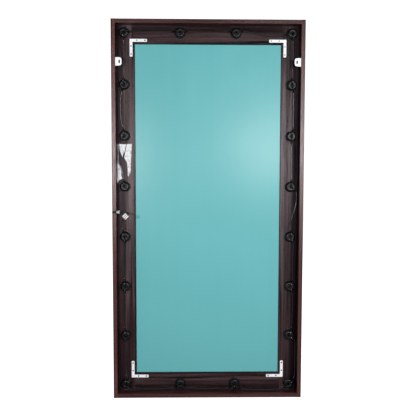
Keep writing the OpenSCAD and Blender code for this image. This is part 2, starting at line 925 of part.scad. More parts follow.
// Rubber bush in the notch, flush with both faces of the rail
module cord_bush() {
    color([0.06, 0.06, 0.06])
        difference() {
            union() {
                translate([box_x, bush_y, cord_z])
                    rotate([0, 90, 0])
                        cylinder(d = bush_d - 2 * fit, h = rail_t, $fn = 64);
                box([box_x, bush_y, cord_z - bush_d / 2 + fit],
                    [half_w, y_rear - edge_c, cord_z + bush_d / 2 - fit]);
            }
            translate([box_x - cut, bush_y, cord_z])
                rotate([0, 90, 0])
                    cylinder(d = bush_bore, h = rail_t + 2 * cut, $fn = 64);
        }
}

// Tapered grip on the inner face of the rail
module cord_grip() {
    color([0.86, 0.92, 0.95])
        difference() {
            translate([box_x, bush_y, cord_z])
                rotate([0, -90, 0])
                    cylinder(d1 = grip_small_d, d2 = grip_d, h = grip_len);
            translate([box_x + cut, bush_y, cord_z])
                rotate([0, -90, 0])
                    cylinder(d = lead_d + 2 * fit, h = grip_len + 2 * cut);
        }
}

// A drawing in the terminal block's own frame: X along its wires, Y across its
// poles and Z away from the board
module at_block() {
    multmatrix([[sin(block_tilt), cos(block_tilt), 0, block_x], [0, 0, 1, y_back],
        [-cos(block_tilt), sin(block_tilt), 0, block_z], [0, 0, 0, 1]])
        children();
}

module at_poles() {
    for (k = [0:poles - 1])
        translate([0, (k - (poles - 1) / 2) * pole_pitch, 0])
            children();
}

module terminal_block() {
    color([0.95, 0.95, 0.94])
        at_block()
            difference() {
                union() {
                    translate([-block_len / 2 + bridge_in, -block_w / 2, 0])
                        cube([block_len - 2 * bridge_in, block_w, block_h - bridge_drop]);
                    at_poles() {
                        translate([-block_len / 2, -barrel_r, 0])
                            cube([block_len, 2 * barrel_r, block_h - barrel_r]);
                        translate([-block_len / 2, 0, block_h - barrel_r])
                            rotate([0, 90, 0])
                                cylinder(r = barrel_r, h = block_len);
                    }
                }
                at_poles() {
                    translate([-block_len / 2 - cut, 0, sleeve_y])
                        rotate([0, 90, 0])
                            cylinder(r = sleeve_r + fit, h = block_len + 2 * cut);
                    for (x = [-well_pitch / 2, well_pitch / 2])
                        translate([x, 0, sleeve_y])
                            cylinder(r = well_r, h = block_h);
                }
            }
}

// Brass sleeves inside the block
module terminal_sleeves() {
    color([0.8, 0.68, 0.36])
        at_block()
            at_poles()
                difference() {
                    translate([-block_len / 2 + sleeve_in, 0, sleeve_y])
                        rotate([0, 90, 0])
                            cylinder(r = sleeve_r, h = block_len - 2 * sleeve_in);
                    translate([-block_len / 2, 0, sleeve_y])
                        rotate([0, 90, 0])
                            cylinder(r = sleeve_bore, h = block_len);
                    for (x = [-well_pitch / 2, well_pitch / 2])
                        translate([x, 0, sleeve_y])
                            cylinder(r = grub_r + fit, h = sleeve_r + cut);
                }
}

// Clamp screws of the block
module terminal_screws() {
    color("silver")
        at_block()
            at_poles()
                for (x = [-well_pitch / 2, well_pitch / 2])
                    translate([x, 0, sleeve_y + grub_lift])
                        cylinder(r = grub_r, h = block_h - sleeve_y - grub_lift - cut);
}

// Remains of a torn paper label on the back of the right stile
module torn_label() {
    clear_r = flange_d / 2 + label_clear;
    color([0.94, 0.95, 0.95])
        difference() {
            translate([box_x, y_back + label_t, label_z])
                rotate([90, 0, 0])
                    mirror([1, 0, 0])
                        linear_extrude(height = label_t) {
                            polygon(label_left);
                            polygon(label_middle);
                            polygon(label_right);
                        }
            at_holders()
                translate([0, 0, h_flange])
                    cylinder(r = clear_r, h = flange_t + cut);
        }
}

side_rail(-1);  // side_rail_left
side_rail(1);  // side_rail_right
cross_rail(true);  // top_rail
cross_rail(false);  // bottom_rail
face_stile(-1);  // face_stile_left
face_stile(1);  // face_stile_right
face_rail(true);  // face_rail_top
face_rail(false);  // face_rail_bottom
joint_dowels();
mirror_glass();
safety_backing();
side_bead(-1);  // bead_left
side_bead(1);  // bead_right
cross_bead(true);  // bead_top
cross_bead(false);  // bead_bottom
corner_brace(-1, true);  // corner_brace_top_left
corner_brace(1, true);  // corner_brace_top_right
corner_brace(-1, false);  // corner_brace_bottom_left
corner_brace(1, false);  // corner_brace_bottom_right
brace_screws();
hanger_plate(-1);  // hanger_plate_left
hanger_plate(1);  // hanger_plate_right
hanger_screws();
holder_skirts();
holder_caps();
shade_rings();
contact_discs();
screw_shells();
contacts();
wiring_top();
wiring_right();
wiring_bottom();
wiring_left();
supply_lead();
terminal_block();
terminal_sleeves();
terminal_screws();
cord_bush();
cord_grip();
torn_label();
for (i = [0:bulb_count - 1])
    bulb(i);
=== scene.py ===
from math import cos, hypot, pi, radians, sin, sqrt

import bmesh
import bpy
from mathutils import Matrix, Vector, noise


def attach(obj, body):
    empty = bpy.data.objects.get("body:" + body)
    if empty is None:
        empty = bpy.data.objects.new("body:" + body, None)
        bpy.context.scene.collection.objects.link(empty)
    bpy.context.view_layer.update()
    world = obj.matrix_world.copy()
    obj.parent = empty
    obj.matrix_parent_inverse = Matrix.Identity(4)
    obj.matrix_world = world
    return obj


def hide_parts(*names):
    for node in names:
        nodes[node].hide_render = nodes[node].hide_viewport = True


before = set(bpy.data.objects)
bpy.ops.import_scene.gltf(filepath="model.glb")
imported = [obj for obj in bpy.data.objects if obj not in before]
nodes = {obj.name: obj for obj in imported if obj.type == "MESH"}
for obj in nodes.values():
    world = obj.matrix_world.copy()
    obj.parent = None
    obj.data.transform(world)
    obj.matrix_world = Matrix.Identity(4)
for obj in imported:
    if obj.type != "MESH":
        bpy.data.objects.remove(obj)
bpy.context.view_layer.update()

# shapes are drawn in millimetres and makeMesh turns them into metres
# camera, lights and materials are in metres
# x runs across, z up, the mirror looks to -y and its open back to +y
mirrorSize = {"width": 857, "height": 1702, "boardBack": -19.5, "rear": 37.5, "railThick": 18,
              "holderInset": 52.5, "columns": 4, "rows": 8}
halfWidth = mirrorSize["width"] / 2
innerX = halfWidth - mirrorSize["railThick"]  # inner face of a side rail
boardBack = mirrorSize["boardBack"]
rear = mirrorSize["rear"]


def pick(values, *names):
    return [values[name] for name in names]


def byRows(*rows):
    return Matrix((*rows, (0, 0, 0, 1)))


def addObject(name, data):
    made = bpy.data.objects.new(name, data)
    bpy.context.scene.collection.objects.link(made)
    return made


def holderPlaces():
    # clockwise as seen from the front, from the upper left corner
    inset, columns, rows = pick(mirrorSize, "holderInset", "columns", "rows")
    stepX = (mirrorSize["width"] - 2 * inset) / (columns - 1)
    stepZ = (mirrorSize["height"] - 2 * inset) / (rows - 1)
    xs = [-halfWidth + inset + k * stepX for k in range(columns)]
    zs = [mirrorSize["height"] - inset - k * stepZ for k in range(rows)]
    return ([(x, zs[0]) for x in xs] + [(xs[-1], z) for z in zs[1:-1]]
            + [(x, zs[-1]) for x in reversed(xs)] + [(xs[0], z) for z in reversed(zs[1:-1])])


holders = holderPlaces()

# where the photo was taken from, fitted to its corners
cameraFit = {"place": (0.05596, 2.8375, 1.08015), "yaw": 0.01994, "pitch": 0.07434, "roll": -0.0024544,
             "sensor": 36, "focalPixels": 627.01, "pictureWidth": 416}


def makeCamera():
    yaw, pitch, roll = pick(cameraFit, "yaw", "pitch", "roll")
    ahead = Vector((-cos(pitch) * sin(yaw), -cos(pitch) * cos(yaw), -sin(pitch)))
    right = Vector((-cos(yaw), sin(yaw), 0))
    up = Vector((-sin(pitch) * sin(yaw), -sin(pitch) * cos(yaw), cos(pitch)))
    turnedRight = cos(roll) * right - sin(roll) * up
    turnedUp = sin(roll) * right + cos(roll) * up
    data = bpy.data.cameras.new("camera")
    data.lens = cameraFit["sensor"] * cameraFit["focalPixels"] / cameraFit["pictureWidth"]
    data.sensor_width = cameraFit["sensor"]
    camera = addObject("camera", data)
    turn = Matrix((turnedRight, turnedUp, -ahead)).transposed().to_4x4()
    camera.matrix_world = Matrix.Translation(cameraFit["place"]) @ turn
    bpy.context.scene.camera = camera


makeCamera()
print("camera set")

noiseRange = (0.3, 0.7)  # where nearly all values of a noise lie


class Shade:
    # one material under construction: its tree, its shader and shortcuts for nodes
    def __init__(self, name, values=None):
        self.material = bpy.data.materials.new(name)
        self.material.use_nodes = True
        self.tree = self.material.node_tree
        self.tree.nodes.clear()
        out = self.tree.nodes.new("ShaderNodeOutputMaterial")
        self.shader = self.tree.nodes.new("ShaderNodeBsdfPrincipled")
        self.tree.links.new(self.shader.outputs[0], out.inputs[0])
        self.coords = self.tree.nodes.new("ShaderNodeTexCoord").outputs["Object"]
        for key, value in (values or {}).items():
            self.put(key, value)

    def plug(self, socket, value):
        if isinstance(value, bpy.types.NodeSocket):
            self.tree.links.new(value, socket)
        else:
            socket.default_value = value

    def put(self, key, value):
        self.plug(self.shader.inputs[key], value)

    def add(self, kind, inputs, output=0, **settings):
        made = self.tree.nodes.new("ShaderNode" + kind)
        for key, value in settings.items():
            setattr(made, key, value)
        for key, value in inputs.items():
            self.plug(made.inputs[key], value)
        return made.outputs[output]

    def stretch(self, scale, shift=(0, 0, 0)):
        return self.add("Mapping", {"Vector": self.coords, "Scale": scale, "Location": shift})

    def noise(self, scale, vector=None, detail=4, rough=0.55, twist=0):
        return self.add("TexNoise", {"Vector": vector or self.coords, "Scale": scale, "Detail": detail,
                                     "Roughness": rough, "Distortion": twist})

    def ramp(self, fac, places, colours):
        made = self.tree.nodes.new("ShaderNodeValToRGB")
        self.tree.links.new(fac, made.inputs[0])
        line = made.color_ramp
        while len(line.elements) < len(places):
            line.elements.new(0.5)
        for element, place, colour in zip(line.elements, places, colours):
            element.position = place
            element.color = (*colour, 1)
        return made.outputs[0]

    def span(self, value, low, high, toLow, toHigh):
        return self.add("MapRange", {"Value": value, "From Min": low, "From Max": high,
                                     "To Min": toLow, "To Max": toHigh})

    def maths(self, operation, a, b=0.0):
        return self.add("Math", {0: a, 1: b}, operation=operation)

    def share(self, value, part):
        return self.maths("MULTIPLY", value, part)

    def rest(self, value):
        return self.maths("SUBTRACT", 1.0, value)

    def total(self, *parts):
        # the sum of values, each times its share
        shares = [self.share(value, part) for value, part in parts]
        result = shares[0]
        for other in shares[1:]:
            result = self.maths("ADD", result, other)
        return result

    def blend(self, fac, a, b, how="MIX"):
        made = self.tree.nodes.new("ShaderNodeMix")
        made.data_type = "RGBA"
        made.blend_type = how
        for number, value in ((0, fac), (6, a), (7, b)):
            self.plug(made.inputs[number], value)
        return made.outputs[2]

    def vector(self, operation, inputs, output=0):
        return self.add("VectorMath", inputs, output, operation=operation)

    def spot(self, centre, size, soft):
        # 1 inside an oval at centre, 0 outside
        moved = self.vector("SUBTRACT", {0: self.coords, 1: centre})
        far = self.vector("LENGTH", {0: self.vector("DIVIDE", {0: moved, 1: size})}, 1)
        return self.span(far, 1 - soft, 1, 1, 0)

    def line(self, start, end, width, strength):
        # full strength on the straight line from start to end, fading to 0 at width from it
        start, way = Vector(start), Vector(end) - Vector(start)
        moved = self.vector("SUBTRACT", {0: self.coords, 1: start})
        along = self.vector("DOT_PRODUCT", {0: moved, 1: way / way.length_squared}, 1)
        nearest = self.vector("SCALE", {0: way, "Scale": self.add("Clamp", {"Value": along})})
        far = self.vector("LENGTH", {0: self.vector("SUBTRACT", {0: moved, 1: nearest})}, 1)
        return self.span(far, 0, width, strength, 0)

    def axis(self, letter):
        return self.add("SeparateXYZ", {0: self.coords}, output="XYZ".index(letter))

    def bump(self, height, strength, distance):
        self.put("Normal", self.add("Bump", {"Height": height, "Strength": strength, "Distance": distance}))


studio = {
    "ambient": 0.085, "background": 1.15, "floorGlow": 1.1, "floorSize": 14,
    "floor": {"Base Color": (0.3, 0.3, 0.3, 1), "Roughness": 0.85, "Specular IOR Level": 0.1,
              "Emission Color": (1, 1, 1, 1)},
    # power in watts, place, aim, width and height
    "lights": {
        "windowRight": (36, (-0.60, 2.85, 1.20), (0, 0, 0.85), (0.35, 0.35)),
        "windowLeft": (33, (0.80, 2.85, 1.11), (0, 0, 0.85), (0.4, 0.45)),
        "softRight": (27, (-1.35, 2.60, 1.42), (0, 0, 0.9), (0.8, 0.8)),
        "frontLight": (90, (-1.90, -3.00, 2.90), (0, 0, 0.85), (1.6, 1.6)),
        "sideRight": (14, (-2.60, 0.10, 1.60), (-0.4, 0, 0.85), (0.9, 0.9)),
        "sideLeft": (14, (2.60, 0.10, 1.60), (0.4, 0, 0.85), (0.9, 0.9)),
    },
}


def makeLight(name, power, place, target, size):
    data = bpy.data.lights.new(name, "AREA")
    data.energy = power
    data.shape = "RECTANGLE"
    data.size, data.size_y = size
    light = addObject(name, data)
    light.location = place
    light.rotation_mode = "QUATERNION"
    light.rotation_quaternion = (Vector(target) - Vector(place)).to_track_quat("-Z", "Y")
    light.visible_camera = False


def makeWorld():
    # a dim room with a white background for the camera
    scene = bpy.context.scene
    scene.view_settings.view_transform = "Standard"
    world = bpy.data.worlds.new("studio")
    world.use_nodes = True
    scene.world = world
    tree = world.node_tree
    tree.nodes.clear()
    out = tree.nodes.new("ShaderNodeOutputWorld")
    mix = tree.nodes.new("ShaderNodeMixShader")
    path = tree.nodes.new("ShaderNodeLightPath")
    tree.links.new(path.outputs["Is Camera Ray"], mix.inputs[0])
    for socket, strength in ((1, studio["ambient"]), (2, studio["background"])):
        glow = tree.nodes.new("ShaderNodeBackground")
        glow.inputs["Color"].default_value = (1, 1, 1, 1)
        glow.inputs["Strength"].default_value = strength
        tree.links.new(glow.outputs[0], mix.inputs[socket])
    tree.links.new(mix.outputs[0], out.inputs[0])


def makeFloor():
    # white to the camera, grey to everything else
    mesh = bpy.data.meshes.new("floor")
    build = bmesh.new()
    bmesh.ops.create_grid(build, x_segments=8, y_segments=8, size=studio["floorSize"])
    build.to_mesh(mesh)
    build.free()
    floor = addObject("floor", mesh)
    shade = Shade("paleFloor", studio["floor"])
    seen = shade.add("LightPath", {}, output="Is Camera Ray")
    shade.put("Emission Strength", shade.share(seen, studio["floorGlow"]))
    mesh.materials.append(shade.material)


makeWorld()
for lightName, lightValues in studio["lights"].items():
    makeLight(lightName, *lightValues)
makeFloor()
print("studio set")


def grey(value):
    return (value, value, value)


def times(values, factor):
    return tuple(value * factor for value in values)


def dress(nodeName, material):
    for item in nodes[nodeName].material_slots:
        item.material = material


# dark stained wood, streaked along the grain, with a soft lacquer sheen
woodLook = {
    "deep": (0.0034, 0.0011, 0.0014),
    "middle": (0.0165, 0.0054, 0.0060),
    "light": (0.0450, 0.0170, 0.0180),
    "tones": (0.36, 0.50, 0.64),
    "gloss": (0.06, 0.52), "glossTones": (0.38, 0.62), "roughness": (0.31, 0.43),
    "values": {"Specular Tint": (1.0, 0.86, 0.91, 1)},
    "poreTones": (0.34, 0.46), "poreShare": 0.4, "relief": (0.35, 0.0004),
    # noise, squeeze along the grain, shift and share in the tone
    "broad": ({"scale": 34, "detail": 2, "twist": 0.5}, 0.03, (0, 0, 0), 0.42),
    "streak": ({"scale": 120, "detail": 6, "rough": 0.6, "twist": 0.3}, 0.03, (0.3, 0.1, 0.7), 0.44),
    "flecks": ({"scale": 260, "detail": 2}, 0.3, (0, 0, 0), 0.14),
    "pores": ({"scale": 900, "detail": 2, "rough": 0.5}, 0.02, (0, 0, 0), 0),
}
# the rails' rear edges: sawn, paler, darker along both arrises
sawnLook = {
    "deep": (0.029, 0.0098, 0.0085), "light": (0.122, 0.044, 0.040), "tones": (0.34, 0.64),
    "depth": (0.0362, 0.0372), "arris": (0.010, 0.005, 0.005, 1), "gloss": 0.37, "smoother": 0.075,
    # mm in from the outer face or out from the inner face, and how dark
    "outer": (7.8, 6.4, 0.34), "inner": (0.2, 2.2, 0.45),
}
# the boards: painted shade that gathers towards the rails, knots and a darker line
boardLook = {
    "railShade": (0.002, 0.001, 0.0015, 1),
    "shadeBand": (0.022, 0.036),
    "darkLine": {"start": (0.358, -0.0195, 0.843), "end": (0.327, -0.0195, 0.833), "width": 0.0055,
              "strength": 0.6},
    "knot": (0.002, 0.001, 0.001, 1), "knotShare": 0.75, "knotSoft": 0.7, "knotDepth": 0.004,
    # place and half size, both across and up
    "knots": [((0.362, 1.012), (0.006, 0.010)), ((-0.371, 0.402), (0.007, 0.013)),
              ((0.211, 1.642), (0.012, 0.006))],
}


def addKnots(shade, colour):
    for (x, z), (sizeX, sizeZ) in boardLook["knots"]:
        size = (sizeX, boardLook["knotDepth"], sizeZ)
        knot = shade.spot((x, boardBack / 1000, z), size, boardLook["knotSoft"])
        colour = shade.blend(shade.share(knot, boardLook["knotShare"]), colour, boardLook["knot"])
    return colour


def addSawnEdge(shade, tone, colour, sheen, bare):
    edge = shade.span(shade.axis("Y"), *sawnLook["depth"], 0, 1)
    tints = [times(tint, bare) for tint in pick(sawnLook, "deep", "light")]
    sawn = shade.ramp(tone, sawnLook["tones"], tints)
    side = shade.maths("ABSOLUTE", shade.axis("X"))
    low, high, dark = sawnLook["outer"]
    outer = shade.span(side, (halfWidth - low) / 1000, (halfWidth - high) / 1000, 0, dark)
    low, high, dark = sawnLook["inner"]
    inner = shade.span(side, (innerX + low) / 1000, (innerX + high) / 1000, dark, 0)
    sawn = shade.blend(shade.maths("MAXIMUM", outer, inner), sawn, sawnLook["arris"])
    sheen = shade.total((edge, sawnLook["gloss"]), (shade.rest(edge), sheen))
    return shade.blend(edge, colour, sawn), sheen, shade.share(edge, sawnLook["smoother"])


def addRailShade(shade, along, colour, sheen, shadeBand, withDarkLine):
    # painted shade: the board darkens towards the rails, where the rails' shadow falls
    if along == "z":
        reach = shade.maths("ABSOLUTE", shade.axis("X"))
        far = innerX / 1000
    else:
        halfway = mirrorSize["height"] / 2000
        reach = shade.maths("ABSOLUTE", shade.maths("SUBTRACT", shade.axis("Z"), halfway))
        far = halfway - mirrorSize["railThick"] / 1000
    near, wide = boardLook["shadeBand"]
    keep = shade.span(reach, far - wide, far - near, 1, shadeBand)
    # a darker line across the right board, from near the terminal block towards the film
    if withDarkLine:
        keep = shade.share(keep, shade.rest(shade.line(**boardLook["darkLine"])))
    return shade.blend(shade.rest(keep), colour, boardLook["railShade"]), shade.share(sheen, keep)


def makeWood(name, along, rail=False, dark=1.0, gloss=1.0, bare=1.0, shadeBand=0.44, withDarkLine=False):
    shade = Shade(name, woodLook["values"])
    layers, shares = {}, []
    for kind in ("broad", "streak", "flecks", "pores"):
        values, squeeze, shift, part = woodLook[kind]
        scale = (squeeze, 1, 1) if along == "x" else (1, 1, squeeze)
        layers[kind] = shade.noise(vector=shade.stretch(scale, shift), **values)
        if part:
            shares.append((layers[kind], part))
    tone = shade.total(*shares)
    tints = [times(tint, dark) for tint in pick(woodLook, "deep", "middle", "light")]
    colour = addKnots(shade, shade.ramp(tone, woodLook["tones"], tints))
    sheen = shade.span(tone, *woodLook["glossTones"], *times(woodLook["gloss"], gloss))
    rough = shade.span(layers["streak"], *noiseRange, *woodLook["roughness"])
    if rail:
        colour, sheen, smoother = addSawnEdge(shade, tone, colour, sheen, bare)
        rough = shade.maths("SUBTRACT", rough, smoother)
    else:
        colour, sheen = addRailShade(shade, along, colour, sheen, shadeBand, withDarkLine)
    poreLine = shade.ramp(layers["pores"], woodLook["poreTones"], (grey(0), grey(1)))
    shade.put("Base Color", shade.blend(woodLook["poreShare"], colour, poreLine, "MULTIPLY"))
    shade.put("Specular IOR Level", sheen)
    shade.put("Roughness", rough)
    shade.bump(shade.total((layers["streak"], 0.5), (poreLine, 0.5)), *woodLook["relief"])
    return shade.material


# each board and rail is a copy of one wood with its own brightness, gloss and painted dark band; the
# differences in brightness between the copies are painted light and shade
boardWood = {
    "left": makeWood("boardWoodLeft", "z", dark=0.88, gloss=0.98, shadeBand=0.24),
    "right": makeWood("boardWoodRight", "z", dark=1.2, gloss=1.16, withDarkLine=True),
    "top": makeWood("boardWoodTop", "x", dark=0.95, gloss=0.7),
    "bottom": makeWood("boardWoodBottom", "x", dark=1.4, gloss=1.9),
}
uprightRails = {
    "left": makeWood("railWoodLeft", "z", rail=True, bare=0.86),
    "right": makeWood("railWoodRight", "z", rail=True, bare=1.08),
}
crossRail = makeWood("railWoodAcross", "x", rail=True, dark=1.8, gloss=1.2, bare=1.25)
uprightBead = makeWood("beadUpright", "z", dark=0.45, gloss=1.1)
crossBead = makeWood("beadAcross", "x", dark=0.45, gloss=1.1)
for side in ("left", "right"):
    dress("face_stile_" + side, boardWood[side])
    dress("side_rail_" + side, uprightRails[side])
    dress("bead_" + side, uprightBead)
for side in ("top", "bottom"):
    dress("face_rail_" + side, boardWood[side])
    dress(side + "_rail", crossRail)
    dress("bead_" + side, crossBead)

dowelLook = {"dark": (0.34, 0.21, 0.11), "pale": (0.52, 0.36, 0.20), "tones": (0.35, 0.65), "flecks": 240,
             "squeeze": 0.08, "relief": (0.2, 0.0003), "values": {"Roughness": 0.7}}


def dressDowels():
    shade = Shade("dowelBeech", dowelLook["values"])
    flecks = shade.noise(dowelLook["flecks"], shade.stretch((dowelLook["squeeze"], 1, 1)), detail=5)
    shade.put("Base Color", shade.ramp(flecks, dowelLook["tones"], pick(dowelLook, "dark", "pale")))
    shade.bump(flecks, *dowelLook["relief"])
    dress("joint_dowels", shade.material)


dressDowels()
print("wood dressed")

glassLook = {"tint": (0.80, 0.84, 0.83), "paler": 1.04, "film": 7, "haze": 40, "hazeTones": (0.35, 0.75),
             "roughness": (0.012, 0.03),
             "values": {"Metallic": 1.0, "Coat Weight": 0.6, "Coat Roughness": 0.01}}


def dressGlass():
    shade = Shade("silveredGlass", glassLook["values"])
    film = shade.noise(glassLook["film"], detail=3)
    haze = shade.noise(glassLook["haze"], detail=5)
    tints = (glassLook["tint"], times(glassLook["tint"], glassLook["paler"]))
    shade.put("Base Color", shade.ramp(film, noiseRange, tints))
    shade.put("Roughness", shade.span(haze, *glassLook["hazeTones"], *glassLook["roughness"]))
    dress("mirror_glass", shade.material)


backingLook = {
    "colour": (0.121, 0.408, 0.427), "pale": (0.131, 0.426, 0.445), "tones": (0.38, 0.62),
    "rolled": 26, "squeeze": 0.03, "clouds": 3.2, "dents": 420,
    # the low tone is painted shade: the film darker towards the bottom
    "low": (0.123, 0.403, 0.422, 1), "lowShadeHeights": (0.1, 0.7), "lowShadeShare": 0.75,
    # a darker patch on the film near the terminal block
    "darkPatch": (0.065, 0.27, 0.27, 1), "darkPatchPlace": (0.3205, -0.027, 0.826),
    "darkPatchSize": (0.017, 0.01, 0.013), "darkPatchSoft": 0.9, "darkPatchShare": 0.95,
    "roughness": (0.28, 0.30), "relief": (0.05, 0.0005), "values": {"Specular IOR Level": 0.17},
}


def dressBacking():
    shade = Shade("safetyFilm", backingLook["values"])
    rolled = shade.noise(backingLook["rolled"], shade.stretch((1, 1, backingLook["squeeze"])), detail=4)
    clouds = shade.noise(backingLook["clouds"], detail=2, rough=0.4)
    dents = shade.noise(backingLook["dents"], detail=2)
    # painted shade: the film darkens towards the bottom
    low = shade.span(shade.axis("Z"), *backingLook["lowShadeHeights"], 1, 0)
    mixed = shade.total((rolled, 0.35), (clouds, 0.65))
    colour = shade.ramp(mixed, backingLook["tones"], pick(backingLook, "colour", "pale"))
    colour = shade.blend(shade.share(low, backingLook["lowShadeShare"]), colour, backingLook["low"])
    darkPatch = shade.spot(*pick(backingLook, "darkPatchPlace", "darkPatchSize", "darkPatchSoft"))
    colour = shade.blend(shade.share(darkPatch, backingLook["darkPatchShare"]), colour, backingLook["darkPatch"])
    shade.put("Base Color", colour)
    shade.put("Roughness", shade.span(rolled, *noiseRange, *backingLook["roughness"]))
    shade.bump(shade.total((rolled, 0.3), (dents, 0.25)), *backingLook["relief"])
    dress("safety_backing", shade.material)


dressGlass()
dressBacking()
print("mirror dressed")

grainLook = {"broad": 0.12, "tones": (0.38, 0.60), "depth": 0.0002}
# painted shade for the parts that lie deep in a lampholder cap
capShade = {"colour": (0.012, 0.011, 0.010, 1), "depth": (-0.0158, -0.0151)}


def makeFinish(name, pale, dark, roughness, grain, relief, values=None, capShadeShare=0.0):
    # two tones mixed by a fine grain, with roughness and relief from the same grain
    shade = Shade(name, values)
    broad = shade.noise(grain * grainLook["broad"], detail=3)
    small = shade.noise(grain, detail=6, rough=0.6)
    mixed = shade.total((broad, 0.55), (small, 0.45))
    colour = shade.ramp(mixed, grainLook["tones"], (dark, pale))
    if capShadeShare:
        # painted shade on the side that lies deep in the cap, where little light gets in
        colour = shade.blend(shade.span(shade.axis("Y"), *capShade["depth"], 0, capShadeShare), colour, capShade["colour"])
    shade.put("Base Color", colour)
    shade.put("Roughness", shade.span(small, *noiseRange, *roughness))
    shade.bump(small, relief, grainLook["depth"])
    return shade.material


metal = {"Metallic": 1.0}
# name, pale tone, dark tone, roughness, grain, relief, other values, painted cap shade
finishLook = {
    "holder_black": ("phenolicBlack", (0.005, 0.006, 0.007), grey(0.002), (0.26, 0.42), 420, 0.15,
                     {"Specular IOR Level": 0.27, "Specular Tint": (0.93, 0.93, 1.0, 1)}),
    "white_metal": ("whiteEnamel", (0.90, 0.92, 0.95), (0.78, 0.80, 0.83), (0.30, 0.46), 300, 0.12),
    "screw": ("zincPlate", (0.34, 0.34, 0.35), (0.16, 0.16, 0.17), (0.28, 0.50), 700, 0.2, metal),
    "ceramic": ("steatite", (0.80, 0.77, 0.70), (0.66, 0.63, 0.57), (0.50, 0.65), 500, 0.15,
                {"Specular IOR Level": 0.2}, 0.97),
    "brass": ("brass", (0.80, 0.60, 0.27), (0.52, 0.36, 0.14), (0.20, 0.42), 600, 0.1, metal),
    "contacts": ("contactBrass", (0.80, 0.60, 0.27), (0.52, 0.36, 0.14), (0.24, 0.46), 600, 0.1, metal,
                 0.9),
    "flex": ("blackFlex", grey(0.006), grey(0.003), (0.22, 0.34), 900, 0.1, {"Specular IOR Level": 0.8}),
    "dustyFlex": ("dustyFlex", grey(0.006), grey(0.003), (0.40, 0.55), 900, 0.1,
                  {"Specular IOR Level": 0.3}),
    "pale_plastic": ("gripPlastic", (0.62, 0.74, 0.80), (0.46, 0.58, 0.64), (0.26, 0.42), 450, 0.1,
                     {"Subsurface Weight": 0.08}),
    "bush": ("rubber", grey(0.006), grey(0.003), (0.50, 0.70), 800, 0.2, {"Specular IOR Level": 0.06}),
}
finishes = {slot: makeFinish(*look) for slot, look in finishLook.items()}

# painted shade in the grooves between the barrels, up to a height over the board
nylonLook = {"dull": (0.80, 0.80, 0.79), "pale": (0.95, 0.95, 0.94), "tones": (0.35, 0.60), "grain": 500,
             "groove": (0.05, 0.05, 0.05, 1), "grooveShadeHeights": (6.8, 10.0), "relief": (0.1, 0.0002),
             "values": {"Specular IOR Level": 0.35, "Roughness": 0.4}}


def makeNylon():
    shade = Shade("blockNylon", nylonLook["values"])
    grain = shade.noise(nylonLook["grain"], detail=5)
    low, high = ((boardBack + height) / 1000 for height in nylonLook["grooveShadeHeights"])
    # painted shade: the groove colour below the crests
    crest = shade.span(shade.axis("Y"), low, high, 0, 1)
    nylon = shade.ramp(grain, nylonLook["tones"], pick(nylonLook, "dull", "pale"))
    shade.put("Base Color", shade.blend(crest, nylonLook["groove"], nylon))
    shade.bump(grain, *nylonLook["relief"])
    return shade.material


# the paper's creases are painted shade: darker lines along the folds
paperLook = {"worn": (0.46, 0.48, 0.50), "pale": (0.78, 0.80, 0.81), "tones": (0.36, 0.52), "wear": 55,
             "folds": 75, "creaseShade": (0.16, 0.16, 0.17, 1), "creaseShadeWidth": 0.06, "creaseShadeShare": 0.35,
             "relief": (0.4, 0.0008),
             "values": {"Roughness": 0.8, "Specular IOR Level": 0.2}}


def makePaper():
    shade = Shade("tornPaper", paperLook["values"])
    wear = shade.noise(paperLook["wear"], detail=5, twist=0.8)
    worn = shade.ramp(wear, paperLook["tones"], pick(paperLook, "worn", "pale"))
    folds = shade.add("TexVoronoi", {"Vector": shade.stretch((1, 1, 0.6)), "Scale": paperLook["folds"]},
                      feature="DISTANCE_TO_EDGE")
    # painted shade along the creases
    creaseShade = shade.span(folds, 0, paperLook["creaseShadeWidth"], paperLook["creaseShadeShare"], 0)
    shade.put("Base Color", shade.blend(creaseShade, worn, paperLook["creaseShade"]))
    shade.bump(shade.span(folds, 0, 0.3, 0, 1), *paperLook["relief"])
    return shade.material


finishes["white_plastic"] = makeNylon()
finishes["paper"] = makePaper()
for nodeName, slot in (("screw_shells", "brass"), ("contacts", "contacts"), ("contact_discs", "ceramic"),
                       ("terminal_sleeves", "brass"), ("terminal_screws", "screw"), ("cord_bush", "bush")):
    dress(nodeName, finishes[slot])

opalLook = {"shaded": (0.80, 0.785, 0.75), "opal": (0.90, 0.885, 0.85), "milk": 60, "sheen": 300,
            "roughness": (0.16, 0.30),
            "values": {"Subsurface Weight": 0.25, "Subsurface Scale": 0.01, "Coat Weight": 0.35,
                       "Coat Roughness": 0.08}}


def makeOpal():
    shade = Shade("opalGlass", opalLook["values"])
    milk, sheen = shade.noise(opalLook["milk"], detail=4), shade.noise(opalLook["sheen"], detail=3)
    shade.put("Base Color", shade.ramp(milk, noiseRange, pick(opalLook, "shaded", "opal")))
    shade.put("Roughness", shade.span(sheen, *noiseRange, *opalLook["roughness"]))
    return shade.material


opalGlass = makeOpal()
capNickel = makeFinish("capNickel", (0.62, 0.61, 0.58), (0.40, 0.39, 0.37), (0.22, 0.42), 700, 0.1, metal)
capGlass = makeFinish("capInsulator", (0.020, 0.014, 0.020), (0.010, 0.008, 0.011), (0.10, 0.22), 500, 0.05)
print("finishes made")


def atHolder(k):
    # local z points out of the front of the mirror
    x, z = holders[k]
    return Matrix.Translation((x, 0, z)) @ Matrix.Rotation(pi / 2, 4, "X")


